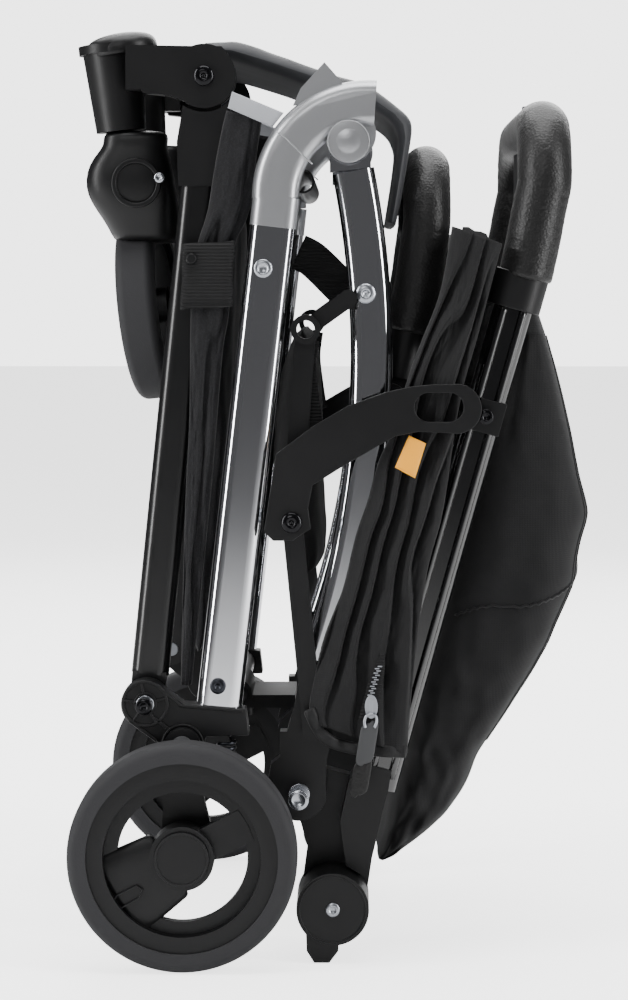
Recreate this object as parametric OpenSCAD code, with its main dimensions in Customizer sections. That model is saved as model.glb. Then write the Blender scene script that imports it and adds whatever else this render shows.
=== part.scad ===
// Folding compact stroller, standing folded. Millimetres, +Z up.
// Origin: on the ground, at the middle of the folded stroller's width, length taken at the frame.
// -X is the stroller's front, -Y its left side. Side points are [x, z] pairs.

/* [Wheels] */
// Rear tyre outer diameter
rear_wheel_d = 150; // [140:1:152]
// Front tyre outer diameter
front_wheel_d = 126; // [118:1:128]
// Rear tyre width
rear_tyre_w = 30; // [24:1:31]
// Front tyre width
front_tyre_w = 26; // [22:1:26]
// Distance between the rear wheels' middle planes
rear_track = 410; // [410:1:420]
// Distance between the two caster pivots
front_track = 240; // [236:1:241]
// Caster trail, pivot to axle
caster_trail = 42; // [38:1:44]
// How far the casters are turned from straight ahead when folded, degrees
caster_turn = 84; // [80:1:90]

/* [Tubes] */
// Long side of the flat-oval leg tubes
leg_w = 30; // [28:1:31]
// Short side of every flat-oval tube
tube_t = 16; // [14:1:16]
// Long side of the handle tubes
handle_w = 26; // [24:1:27]
// Wall of every tube
wall = 1.5; // [1.2:0.1:2]
// Middle plane of the rear legs and elbows, from the centre line
outer_y = 166; // [166:0.5:167]
// Middle plane of the front legs, seat tubes and handle tubes
inner_y = 149; // [148.5:0.5:149]

/* [Grips] */
// Handle grip diameter
grip_d = 36; // [34:1:37]
// Bumper bar diameter
bumper_d = 32; // [30:1:33]

/* [Fasteners] */
// Fold pivot pin radius
pin_r = 5; // [4.5:0.1:5.5]
// Running clearance of pins and axles, per side
run = 0.06; // [0.03:0.01:0.09]
// Rivet head radius
rivet_r = 6; // [5:0.5:6.5]

/* [Hidden] */
$fn = 48;

// Pivots, [x, z]
rear_axle = [-98.5, rear_wheel_d / 2];
leg_pivot = [-124.5, 170.5];
suspension_pivot = [-99.5, 144];
brake_pivot = [-70, 159];
elbow_pivot = [10.3, 544.7];
handle_pivot = [-23.2, 108.2];
arm_pivot = [-85.6, 582.8];
lock_pivot = [-27.8, 291];
bumper_pivot = [36, 368];
foot_knob = [-0.8, 35.6];
zip_pivot = [24.5, 160];

// Tube ends, [x, z]
rear_leg_low = [-76.4, 164];
rear_leg_high = [-40.1, 484];
elbow_centre = [22.5, 503];
elbow_bend_r = 61;
rear_leg_lean = atan2(rear_leg_high[0] - rear_leg_low[0], rear_leg_high[1] - rear_leg_low[1]);
front_leg_high = [-88.8, 512];
seat_bend_centre = [-603.3, 396.7];
seat_bend_r = 628;
seat_bend_high = 11.4;
seat_bend_low = -18.6;
handle_low = [28.5, 112];
handle_high = [120.5, 440];
handle_lean = atan2(handle_high[0] - handle_low[0], handle_high[1] - handle_low[1]);
grip_low = [126.5, 452];
grip_bend = [139, 513];
bumper_low = [49.5, 418];
bumper_high = [62.5, 492];
caster_tilt = 6;
caster_top = [-148.5, 606];
caster_drop = 58;
front_wheel_drop = 118;

// Lateral stations, from the centre line
outer_in = outer_y - tube_t / 2;
outer_out = outer_y + tube_t / 2;
inner_in = inner_y - tube_t / 2;
inner_out = inner_y + tube_t / 2;
bracket_out = outer_out + 2;
rear_wheel_y = rear_track / 2;
front_wheel_y = front_track / 2;
bumper_y = 124;
gap = 0.4;

// ---------- helpers ----------

// Extrudes an [x, z] outline on the left side, between two distances from the centre line
module side_plate(y0, y1) {
    rotate([90, 0, 0]) translate([0, 0, y0]) linear_extrude(y1 - y0) children();
}

// A round pin or disc across the left side
module side_pin(p, r, y0, y1) {
    translate([p[0], -y0, p[1]]) rotate([90, 0, 0]) cylinder(r = r, h = y1 - y0);
}

// Draws children, made for the left side, on the named side
module on_side(side) {
    mirror([0, side == "right" ? 1 : 0, 0]) children();
}

module both_sides() {
    for (side = ["left", "right"]) on_side(side) children();
}

// Flat-oval outline, w along x and t along y
module flat_oval(w, t) {
    square([w - t, t], center = true);
    for (s = [-1, 1]) translate([s * (w - t) / 2, 0]) circle(d = t);
}

// Hollow flat-oval outline
module oval_section(w, t) {
    difference() {
        flat_oval(w, t);
        flat_oval(w - 2 * wall, t - 2 * wall);
    }
}

// Straight flat-oval tube on the left side from p0 up to p1
module oval_tube(p0, p1, y, w, t = tube_t) {
    lean = atan2(p1[0] - p0[0], p1[1] - p0[1]);
    translate([p0[0], -y, p0[1]]) rotate([0, lean, 0])
        linear_extrude(norm(p1 - p0)) oval_section(w, t);
}

// Solid core of a flat-oval tube, used to cut its seat
module oval_core(p0, p1, y, w, t) {
    lean = atan2(p1[0] - p0[0], p1[1] - p0[1]);
    translate([p0[0], -y, p0[1]]) rotate([0, lean, 0]) linear_extrude(norm(p1 - p0)) flat_oval(w, t);
}

// Solid flat bar on the left side between two points, with round ends
module flat_bar(p0, p1, w, y0, y1) {
    along = p1 - p0;
    side_plate(y0, y1) {
        translate(p0) rotate(atan2(along[1], along[0])) translate([0, -w / 2 + 0.3])
            square([norm(along), w - 0.6]);
        translate(p0) circle(d = w);
        translate(p1) circle(d = w);
    }
}

// Solid round bar between two [x, y, z] points
module round_bar(a, b, r) {
    v = b - a;
    translate(a) rotate([0, acos(v[2] / norm(v)), atan2(v[1], v[0])]) cylinder(r = r, h = norm(v));
}

// Round hollow tube across the whole width between the two sides
module cross_tube(p, r, y_end) {
    translate([p[0], y_end, p[1]]) rotate([90, 0, 0]) difference() {
        cylinder(r = r, h = 2 * y_end);
        translate([0, 0, -1]) cylinder(r = r - wall, h = 2 * y_end + 2);
    }
}

// ---------- rear frame ----------

module rear_leg(side) {
    color("silver") on_side(side) oval_tube(rear_leg_low, rear_leg_high, outer_y, leg_w);
}

module elbow(side) {
    fin = [[-27, 563], [-22, 574], [-6.5, 591], [5, 578], [-5, 566]];
    color("gainsboro") on_side(side) difference() {
        union() {
            translate([rear_leg_high[0], -outer_y, rear_leg_high[1]]) rotate([0, rear_leg_lean, 0])
                linear_extrude(20) flat_oval(leg_w + 1, tube_t + 1);
            translate([elbow_centre[0], -outer_y, elbow_centre[1]]) rotate([90, 0, 0]) rotate(86)
                rotate_extrude(angle = 94) translate([elbow_bend_r, 0]) flat_oval(leg_w + 1, tube_t + 1);
            side_plate(outer_y - 3, outer_y + 3) polygon(fin);
            side_pin(elbow_pivot, 17, outer_in, outer_out - 4);
        }
        side_pin(elbow_pivot, pin_r, outer_in - 1, outer_out - 2);
    }
}

module rear_bracket(side) {
    web = [
        [-134, 181], [-117, 184], [-99, 171], [-58, 167.5], [-56, 150],
        [-84, 149], [-88, 138], [-111, 138], [-117, 146], [-135, 161],
    ];
    color("dimgray") on_side(side) difference() {
        union() {
            side_plate(outer_in - gap, bracket_out) polygon(web);
            side_pin(leg_pivot, 16, outer_in - gap, bracket_out);
            side_pin(suspension_pivot, 14, outer_in - gap, bracket_out);
        }
        side_pin(leg_pivot, pin_r, outer_in - 1, bracket_out + 1);
        side_pin(suspension_pivot, pin_r, outer_in - 1, bracket_out + 1);
        translate([rear_leg_low[0], -outer_y, rear_leg_low[1]]) rotate([0, rear_leg_lean, 0])
            linear_extrude(20) flat_oval(leg_w, tube_t);
    }
}

// Lower tube between the rear brackets and upper tube between the elbows
module frame_cross_tubes() {
    color("dimgray") {
        cross_tube(brake_pivot, 8, outer_in - gap);
        cross_tube([-21, 514], 8, outer_in - 0.5);
    }
}

// Pivot pins fixed in the rear frame, with rivet heads
module frame_pins() {
    color("silver") both_sides() {
        side_pin(elbow_pivot, pin_r, inner_in, outer_out - 2);
        side_pin(leg_pivot, pin_r, inner_in, bracket_out);
        side_pin(leg_pivot, rivet_r, bracket_out, bracket_out + 2);
        side_pin(suspension_pivot, pin_r, outer_in, bracket_out + 12);
        for (p = [[-46.8, 456.5], [-76.5, 182.5]])
            side_pin(p, 4.5, outer_out, outer_out + 1.5);
    }
}

module brake_pedal() {
    // Foot bar clipped round the rear cross tube
    color("dimgray") difference() {
        union() {
            side_pin(brake_pivot, 12, -40, 40);
            translate([brake_pivot[0] + 8, -38, brake_pivot[1] - 9]) cube([34, 76, 9]);
        }
        side_pin(brake_pivot, 8 + run, -41, 41);
    }
}

// ---------- rear suspension and wheels ----------

module swing_arm(side) {
    arm = [[-109, 140], [-113, 92], [-110, 70], [-98, 60], [-84, 66], [-80, 88], [-86, 112],
        [-66, 112], [-64, 120], [-84, 124], [-88, 134]];
    y0 = bracket_out + gap;
    color("dimgray") on_side(side) difference() {
        union() {
            side_plate(y0, y0 + 9) polygon(arm);
            side_pin(suspension_pivot, 12, y0, y0 + 9);
            side_pin(rear_axle, 15, y0, y0 + 10);
            side_pin(rear_axle, 5, y0, rear_wheel_y + 9);
            translate([-71, -outer_y - 11, 116]) cylinder(r = 7, h = 8);
        }
        side_pin(suspension_pivot, pin_r + run, y0 - 1, y0 + 10);
    }
}

module suspension_springs() {
    turns = 5;
    pitch = 4.6;
    color("silver") both_sides() for (i = [0:turns - 1])
        translate([-71, -outer_y - 2, 126.5 + i * pitch]) rotate_extrude() translate([5.5, 0]) circle(r = 1.2, $fn = 16);
}

// Draws children, made round the z axis with +z outwards, at a rear wheel
module at_rear_wheel(side) {
    on_side(side) translate([rear_axle[0], -rear_wheel_y, rear_axle[1]]) rotate([90, 0, 0]) children();
}

module rear_rim(side) {
    r_out = rear_wheel_d / 2 - 12.5;
    half = rear_tyre_w / 2 - 3;
    color("black") at_rear_wheel(side) difference() {
        union() {
            difference() {
                translate([0, 0, -half]) cylinder(r = r_out, h = 2 * half);
                translate([0, 0, -half - 1]) cylinder(r = r_out - 11, h = 2 * half + 2);
            }
            difference() {
                translate([0, 0, -4]) cylinder(r = r_out - 10, h = 8);
                translate([0, 0, -5]) cylinder(r = r_out - 20, h = 10);
            }
            translate([0, 0, -half]) cylinder(r = 21, h = 2 * half);
            intersection() {
                translate([0, 0, -5]) cylinder(r = r_out - 15, h = 11);
                union() {
                    rotate(207) translate([0, -19, -5]) cube([r_out, 38, 10]);
                    rotate(27) translate([0, -11, -5]) cube([r_out, 22, 10]);
                }
            }
        }
        translate([0, 0, -half - 1]) cylinder(r = 5 + run, h = 2 * half + 2);
        translate([0, 0, half - 2]) cylinder(r = 18, h = 3);
    }
}

module tyre_shape(r_out, r_in, w) {
    shoulder = 6;
    rotate_extrude($fn = 96) {
        translate([r_in, -w / 2]) square([r_out - r_in - shoulder, w]);
        translate([r_in, -w / 2 + shoulder]) square([r_out - r_in, w - 2 * shoulder]);
        for (s = [-1, 1]) translate([r_out - shoulder, s * (w / 2 - shoulder)]) circle(r = shoulder);
    }
}

module rear_tyre(side) {
    color("darkslategray") at_rear_wheel(side)
        tyre_shape(rear_wheel_d / 2, rear_wheel_d / 2 - 12.5, rear_tyre_w);
}

module rear_hub_cap(side) {
    color("black") at_rear_wheel(side)
        translate([0, 0, rear_tyre_w / 2 - 5]) cylinder(r = 17.8, h = 4);
}

// ---------- front legs and basket ----------

module front_leg(side) {
    color("black") on_side(side) difference() {
        union() {
            oval_tube([-122.6, 188], front_leg_high, inner_y, 25);
            side_plate(inner_in + 0.5, inner_out - 0.5)
                polygon([[-136, 170], [-134, 191], [-111.5, 189], [-113, 170]]);
            side_pin(leg_pivot, 12, inner_in + 0.5, inner_out - 0.5);
        }
        side_pin(leg_pivot, pin_r + run, inner_in - 1, inner_out + 1);
    }
}

module front_leg_sleeves() {
    // Moulded top ends with a tongue that carries the front arm's pin
    sleeve = [[-102.5, 511], [-103.5, 540], [-99, 566], [-68, 568], [-72, 511]];
    color("dimgray") both_sides() difference() {
        union() {
            difference() {
                side_plate(inner_in - 1.5, inner_out + 1.5) polygon(sleeve);
                side_pin(arm_pivot, 23.5, inner_in - 3, inner_out + 3);
            }
            side_plate(inner_y - 3.5, inner_y + 3.5) polygon([[-96, 540], [-96, 583], [-75, 583], [-74, 540]]);
            side_pin(arm_pivot, 10.4, inner_y - 3.5, inner_y + 3.5);
        }
        side_pin(arm_pivot, pin_r, inner_in - 3, inner_out + 3);
    }
}

module footrest_tube() {
    color("dimgray") cross_tube([-88, 535], 8, inner_in - 1.5);
}

module arm_pins() {
    color("silver") both_sides() {
        side_pin(arm_pivot, pin_r, inner_in, inner_out);
        side_pin(arm_pivot, rivet_r, inner_out + 1.9, inner_out + 3.9);
        side_pin(arm_pivot, pin_r, inner_out, inner_out + 1.9);
    }
}

module basket() {
    // Folded flat between the legs, with a sleeve beside each leg
    bundle = [[-82, 500], [-62, 498], [-66, 440], [-72, 300], [-84, 196], [-100, 196], [-92, 330]];
    sleeve = [[-72, 555], [-79, 524], [-82, 498], [-92, 470], [-96, 400], [-97, 330], [-98, 210],
        [-90, 210], [-82, 304], [-77, 357], [-73, 403], [-68, 470], [-62.5, 488], [-58, 505], [-56, 551]];
    color("darkslategray") {
        side_plate(-96, 96) polygon(bundle);
        both_sides() side_plate(inner_out + 1.9, inner_out + 10) polygon(sleeve);
    }
}

module basket_straps() {
    loop = [[-98, 474], [-66, 474], [-69, 430], [-99, 430]];
    color("black") both_sides() side_plate(inner_out + 10.3, inner_out + 12.5) polygon(loop);
}

// ---------- front arms and casters ----------

// Draws children, made round a vertical swivel axis with its top at 0, at a caster
module at_caster(side) {
    on_side(side) translate([caster_top[0], -front_wheel_y, caster_top[1]]) rotate([0, -caster_tilt, 0]) children();
}

module front_arm(side) {
    knuckle_in = inner_in - 1.5;
    knuckle_out = inner_out + 1.5;
    top = [[-137, 603], [-74, 602], [-70, 598], [-70, 584], [-86, 562.5], [-108, 570], [-126, 572]];
    color("dimgray") {
        on_side(side) difference() {
            union() {
                side_plate(knuckle_in, knuckle_out) polygon(top);
                side_pin(arm_pivot, 21, knuckle_in, knuckle_out);
                translate([-137, -knuckle_out, 574]) cube([21, knuckle_out - front_wheel_y, 28]);
            }
            side_plate(inner_y - 3.9, inner_y + 3.9) union() {
                translate(arm_pivot) circle(r = 24);
                translate([-112, 540]) square([30, 55]);
                translate([-96, 570]) square([40, 60]);
            }
            side_pin(arm_pivot, pin_r + run, knuckle_in - 1, knuckle_out + 1);
        }
        at_caster(side) difference() {
            union() {
                translate([0, 0, -58]) cylinder(r1 = 16.5, r2 = 20, h = 52);
                translate([0, 0, -6]) cylinder(r = 22.5, h = 6);
            }
            translate([0, 0, -59]) cylinder(r = 8 + run, h = 45);
        }
    }
}

module front_axle_tube() {
    color("dimgray") cross_tube([-106, 588], 9, inner_in - 1.5);
}

// Draws children, made with the wheel straight ahead, at a caster turned as it stands folded
module at_turned_caster(side) {
    at_caster(side) translate([0, 0, -caster_drop]) rotate(caster_turn) children();
}

module caster_fork(side) {
    // Stem, neck, sprung block, two cheeks, fender and axle
    block_z = -34;
    cheek_in = front_tyre_w / 2 + 1.5;
    cheek = [[-20, block_z + 6], [-16, block_z + 18], [10, block_z + 18], [24, block_z],
        [caster_trail + 10, -front_wheel_drop + 4], [caster_trail, -front_wheel_drop - 10],
        [caster_trail - 12, -front_wheel_drop + 2], [-8, -72]];
    color("black") at_turned_caster(side) difference() {
        union() {
            translate([0, 0, -2]) cylinder(r = 8, h = 44);
            translate([0, 0, -9]) cylinder(r = 17, h = 8.6);
            translate([0, 0, -24]) cylinder(r = 14, h = 18);
            translate([0, cheek_in, block_z]) rotate([90, 0, 0]) cylinder(r = 16, h = 2 * cheek_in);
            for (s = [-1, 1]) translate([0, s * (cheek_in + 2.5) + 2.5, 0]) rotate([90, 0, 0])
                linear_extrude(5) polygon(cheek);
            translate([caster_trail, cheek_in + 5, -front_wheel_drop]) rotate([90, 0, 0])
                rotate(70) rotate_extrude(angle = 100) translate([front_wheel_d / 2 + 2.5, 0]) square([3, 2 * cheek_in + 10]);
            translate([caster_trail, cheek_in + 1, -front_wheel_drop]) rotate([90, 0, 0])
                cylinder(r = 4, h = 2 * cheek_in + 2);
        }
    }
}

module at_front_wheel(side) {
    at_turned_caster(side) translate([caster_trail, 0, -front_wheel_drop]) rotate([90, 0, 0]) children();
}

module front_rim(side) {
    r_out = front_wheel_d / 2 - 12;
    color("black") at_front_wheel(side) difference() {
        union() {
            difference() {
                translate([0, 0, -10]) cylinder(r = r_out, h = 20);
                translate([0, 0, -11]) cylinder(r = r_out - 8, h = 22);
            }
            translate([0, 0, -front_tyre_w / 2]) cylinder(r = 12, h = front_tyre_w);
            for (a = [0:120:240]) rotate(a) translate([0, -6, -5]) cube([r_out - 4, 12, 10]);
        }
        translate([0, 0, -20]) cylinder(r = 4 + run, h = 40);
    }
}

module front_tyre(side) {
    color("darkslategray") at_front_wheel(side)
        tyre_shape(front_wheel_d / 2, front_wheel_d / 2 - 12, front_tyre_w);
}

// ---------- seat frame ----------

module seat_tube(side) {
    // Long bowed tube between the elbow and the handle bracket
    color("silver") on_side(side)
        translate([seat_bend_centre[0], -inner_y, seat_bend_centre[1]]) rotate([90, 0, 0]) rotate(seat_bend_low)
            rotate_extrude(angle = seat_bend_high - seat_bend_low) translate([seat_bend_r, 0])
                oval_section(28, tube_t);
}

module seat_tube_tops() {
    color("gainsboro") both_sides() difference() {
        union() {
            side_pin(elbow_pivot, 14, inner_in, inner_out);
            side_plate(inner_in, inner_out) polygon([[-3, 520], [24, 523], [23.5, 545], [-3.2, 545]]);
        }
        side_pin(elbow_pivot, pin_r + run, inner_in - 1, inner_out + 1);
    }
}

module seat_tube_ends() {
    // Moulded lower ends that carry the handle pivot, with a cable guide on their front edge
    end = [[-21, 198], [8, 192], [2, 165], [-5, 130], [-6, 104], [-41, 104], [-40, 120], [-27, 165]];
    guide = [[-36, 133], [-36, 150], [-27, 150], [-27, 133], [-25, 118], [-44, 118], [-42, 128]];
    color("dimgray") both_sides() difference() {
        union() {
            side_plate(inner_in, inner_out) {
                polygon(end);
                polygon(guide);
            }
            side_pin(handle_pivot, 18, inner_in, inner_out);
        }
        side_pin(handle_pivot, pin_r, inner_in - 1, inner_out + 1);
    }
}

module seat_pins() {
    color("silver") both_sides() {
        side_pin(handle_pivot, pin_r, inner_in - 17, inner_out);
        side_pin(handle_pivot, 7, inner_out, inner_out + 1.6);
        side_pin([20.5, 439], 4.5, inner_out, inner_out + 1.5);
        side_pin(lock_pivot, pin_r, inner_out + 1.6, outer_out + 7);
        side_pin(lock_pivot, rivet_r, outer_out + 7, outer_out + 9);
        side_pin(bumper_pivot, pin_r, bumper_y - 8, inner_in);
    }
}

module seat_rails() {
    // Flat side bars with their top brackets on the seat tubes
    y0 = inner_out + 1.6;
    color("black") both_sides() difference() {
        union() {
            flat_bar([-14, 152], lock_pivot, 14, y0, y0 + 6);
            flat_bar(lock_pivot, [-18.8, 417], 14, y0, y0 + 6);
            flat_bar([-18.8, 417], [9, 437], 12, y0, y0 + 6);
            side_pin([-18.8, 417], 9.7, y0, y0 + 14);
            side_plate(inner_out, y0) translate([2, 430]) square([12, 10]);
            side_pin([-14, 152], 5, inner_out, y0);
        }
        side_pin([-18.8, 417], 6, y0 - 1, y0 + 15);
        side_pin(lock_pivot, pin_r, y0 - 1, y0 + 7);
    }
}

module seat_cross_tube() {
    color("dimgray") cross_tube([4, 236], 9, inner_in);
}

module seat_fabric() {
    // Folded seat hammock between the rear legs and the seat tubes
    hammock = [[-27, 412], [-19, 408], [-10, 300], [-8, 250], [-30, 250], [-42, 300], [-40, 345]];
    color("black") side_plate(-104, 104) polygon(hammock);
}

module seat_edge() {
    band = [[27, 575], [41, 564], [46.5, 557], [47, 548], [45.5, 536], [41, 500], [39, 487],
        [34, 488], [37, 517], [39, 538], [36, 545], [27, 553]];
    color("gray") side_plate(-137, 137) polygon(band);
}

module calf_rest() {
    band = [[-86, 607.5], [-62, 608], [-39.5, 599.6], [-12, 590], [-12, 577],
        [-24, 577], [-41, 583], [-67, 590], [-84, 591]];
    color("gray") side_plate(-137, 137) polygon(band);
}

// ---------- bumper bar ----------

module bumper_bar() {
    r = bumper_d / 2;
    bend = 36;
    low = [bumper_low[0], -bumper_y, bumper_low[1]];
    high = [bumper_high[0], -bumper_y, bumper_high[1]];
    top_z = bumper_high[1] + 24;
    color("black") {
        both_sides() {
            round_bar(low, high, r);
            translate(high) sphere(r = r);
            translate([bumper_high[0], -bumper_y + bend, bumper_high[1]]) rotate([90, 0, 90]) rotate(90)
                rotate_extrude(angle = 90) translate([bend, 0]) circle(r = r);
        }
        translate([bumper_high[0], bumper_y - bend, bumper_high[1] + bend]) rotate([90, 0, 0])
            cylinder(r = r, h = 2 * (bumper_y - bend));
    }
}

module bumper_ends() {
    // Plastic end fittings that turn on the seat frame
    color("dimgray") both_sides() difference() {
        union() {
            round_bar([43.5, -bumper_y, 384], [bumper_low[0], -bumper_y, bumper_low[1]], 13.5);
            side_pin(bumper_pivot, 13, bumper_y - 8, inner_in - gap);
            side_plate(bumper_y - 8, bumper_y + 8) polygon([[25, 372], [30, 400], [56, 396], [48, 364]]);
        }
        side_pin(bumper_pivot, pin_r + run, bumper_y - 9, inner_in + 1);
    }
}

// ---------- lock arms ----------

module lock_arm(side) {
    plate = [
        [-38, 336], [-14, 354], [9, 367.5], [34, 376.5], [50, 380], [65, 381.5], [80, 381.5],
        [80, 349.5], [55, 350.5], [40, 347.5], [30, 342], [6, 328], [-14, 315.5], [-17, 300],
        [-15, 287], [-27.5, 279], [-40, 279], [-46, 285],
    ];
    y0 = outer_out + 3;
    color("black") on_side(side) difference() {
        union() {
            side_plate(y0, y0 + 4) polygon(plate);
            side_pin([80, 365.5], 16.3, y0, y0 + 4);
        }
        side_plate(y0 - 1, y0 + 5) translate([68.5, 366.5]) flat_oval(32, 19);
        side_pin(lock_pivot, pin_r + run, y0 - 1, y0 + 5);
    }
}

// ---------- handle frame ----------

module handle_bracket(side) {
    // Pivot plate, tube socket, round end boss and ground foot
    socket = [[10, 118], [20, 129], [38, 124], [36, 111], [32, 96], [27, 73], [22, 52], [8, 60], [4, 90]];
    web = [[-23, 88], [-23, 128], [12, 118], [27, 73], [22, 40], [-22, 40], [-18, 70]];
    plate_in = inner_in - 16;
    color("dimgray") on_side(side) difference() {
        union() {
            side_plate(plate_in, inner_in - gap) {
                polygon(web);
                polygon(socket);
            }
            side_pin(handle_pivot, 21, plate_in, inner_in - gap);
            side_plate(inner_in - gap - 1, inner_out + 1.5) polygon(socket);
            side_pin(foot_knob, 24, plate_in, outer_out + 10);
            side_plate(outer_y - 6, outer_out + 9) {
                polygon([[-19, 36], [-18, 8], [-13, 0], [-3, 0], [3, 8], [4, 36]]);
            }
        }
        side_pin(handle_pivot, pin_r + run, plate_in - 1, inner_in + 1);
        translate([handle_low[0], -inner_y, handle_low[1]]) rotate([0, handle_lean, 0])
            linear_extrude(40) flat_oval(handle_w, tube_t);
    }
}

module handle_tube(side) {
    color("black") on_side(side) oval_tube(handle_low, handle_high, inner_y, handle_w);
}

module handle_collars() {
    color("dimgray") both_sides() difference() {
        translate([handle_high[0], -inner_y, handle_high[1]]) rotate([0, handle_lean, 0]) translate([0, 0, -10])
            linear_extrude(24) flat_oval(36, 30);
        translate([handle_high[0], -inner_y, handle_high[1]]) rotate([0, handle_lean, 0]) translate([0, 0, -11])
            linear_extrude(11) flat_oval(handle_w, tube_t);
    }
}

module handle_clamps() {
    clamp = [[97, 372], [114, 367.5], [108, 346], [90.5, 351]];
    color("dimgray") both_sides() difference() {
        union() {
            side_plate(inner_in - 3, inner_out + 3) polygon(clamp);
            side_pin([99.4, 360], 4, inner_out + 3, inner_out + 14);
        }
        oval_core(handle_low, handle_high, inner_y, handle_w, tube_t);
    }
}

module handle_grip() {
    r = grip_d / 2;
    bend = 38;
    low = [grip_low[0], -inner_y, grip_low[1]];
    high = [grip_bend[0], -inner_y, grip_bend[1]];
    color("black") difference() {
        union() {
            both_sides() {
                round_bar(low, high, r);
                translate(high) sphere(r = r + 0.3);
                translate([grip_bend[0], -inner_y + bend, grip_bend[1]]) rotate([90, 0, 90]) rotate(90)
                    rotate_extrude(angle = 90) translate([bend, 0]) circle(r = r);
            }
            translate([grip_bend[0], inner_y - bend, grip_bend[1] + bend]) rotate([90, 0, 0])
                cylinder(r = r, h = 2 * (inner_y - bend));
        }
        // Well for the fold button
        translate([grip_bend[0], 0, grip_bend[1] + bend + 8]) cylinder(r = 8.4, h = 20);
        // Slot for the fold trigger
        translate([grip_bend[0] - 13, -36, grip_bend[1] + bend - 40]) cube([15, 72, 34]);
    }
}

module fold_trigger() {
    color("black") {
        translate([grip_bend[0] - 12, -35, 508]) cube([9, 70, 32]);
        side_pin([grip_bend[0] - 7.5, 508], 4.5, -35, 35);
    }
}

module fold_button() {
    top = grip_bend[1] + 38 + grip_d / 2;
    color("silver") translate([grip_bend[0], 0, top - 6]) cylinder(r = 8, h = 8);
}

module canopy() {
    // Gathered canopy and seat-side fabric: a hanging side bundle on each side and the folded top
    side_bundle = [
        [84, 483], [105, 475], [96, 430], [76, 350], [73, 300], [62, 265], [56, 226], [51, 184],
        [48, 130], [20, 130], [-2, 144], [-17, 168], [-12, 191], [0, 230], [14, 284], [28, 329],
        [40, 357], [50, 392], [66, 432], [76, 460],
    ];
    top = [[83, 484], [105, 475], [90, 420], [74, 400], [70, 420], [82, 455]];
    color("black") {
        both_sides() side_plate(inner_out + 9, outer_out + 2.5) polygon(side_bundle);
        side_plate(-150, 150) polygon(top);
        both_sides() side_plate(100, outer_out - 8) polygon([[84, 483], [100, 474], [92, 440], [84, 455]]);
    }
}

module zip_pull() {
    // Pull tab of the seat-side zip, hanging from its slider
    color("dimgray") difference() {
        union() {
            side_pin(zip_pivot, 4, outer_out + 3.2, outer_out + 5.2);
            side_plate(outer_out + 3.2, outer_out + 5.2)
                polygon([[21.5, 159], [27.5, 159], [26, 133], [22, 130], [17, 131], [15, 134]]);
        }
        side_pin(zip_pivot, 1.5, outer_out, outer_out + 8);
    }
}

module backrest() {
    // Folded backrest and its rear pocket, hanging behind the handle tubes
    panel = [
        [137, 426], [152, 381], [162, 347], [168, 314], [173.5, 292], [169, 272], [166, 246], [153, 217],
        [139, 185], [112, 144], [96, 122], [88, 104], [61, 72], [44, 60], [42, 74], [47, 120],
        [64, 180], [88, 280], [112, 380], [124, 424],
    ];
    color("black") side_plate(-120, 120) polygon(panel);
}

rear_leg("left");  // rear_leg_left
rear_leg("right");  // rear_leg_right
elbow("left");  // elbow_left
elbow("right");  // elbow_right
rear_bracket("left");  // rear_bracket_left
rear_bracket("right");  // rear_bracket_right
frame_cross_tubes();
frame_pins();
brake_pedal();
swing_arm("left");  // swing_arm_left
swing_arm("right");  // swing_arm_right
suspension_springs();
rear_rim("left");  // rear_rim_left
rear_rim("right");  // rear_rim_right
rear_tyre("left");  // rear_tyre_left
rear_tyre("right");  // rear_tyre_right
rear_hub_cap("left");  // rear_hub_cap_left
rear_hub_cap("right");  // rear_hub_cap_right
front_leg("left");  // front_leg_left
front_leg("right");  // front_leg_right
front_leg_sleeves();
footrest_tube();
arm_pins();
basket();
basket_straps();
front_arm("left");  // front_arm_left
front_arm("right");  // front_arm_right
front_axle_tube();
caster_fork("left");  // caster_fork_left
caster_fork("right");  // caster_fork_right
front_rim("left");  // front_rim_left
front_rim("right");  // front_rim_right
front_tyre("left");  // front_tyre_left
front_tyre("right");  // front_tyre_right
seat_tube("left");  // seat_tube_left
seat_tube("right");  // seat_tube_right
seat_tube_tops();
seat_tube_ends();
seat_pins();
seat_rails();
seat_cross_tube();
seat_fabric();
seat_edge();
calf_rest();
bumper_bar();
bumper_ends();
lock_arm("left");  // lock_arm_left
lock_arm("right");  // lock_arm_right
handle_bracket("left");  // handle_bracket_left
handle_bracket("right");  // handle_bracket_right
handle_tube("left");  // handle_tube_left
handle_tube("right");  // handle_tube_right
handle_collars();
handle_clamps();
handle_grip();
fold_trigger();
fold_button();
canopy();
zip_pull();
backrest();
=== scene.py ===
"""Folded compact stroller: finishes, soft goods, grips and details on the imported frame, in a plain studio."""

import logging
from dataclasses import dataclass, field
from enum import Enum
from math import copysign, cos, pi, radians, sin, sqrt
from typing import Callable, Sequence

import bmesh
import bpy
from mathutils import Matrix, Vector, noise


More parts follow.
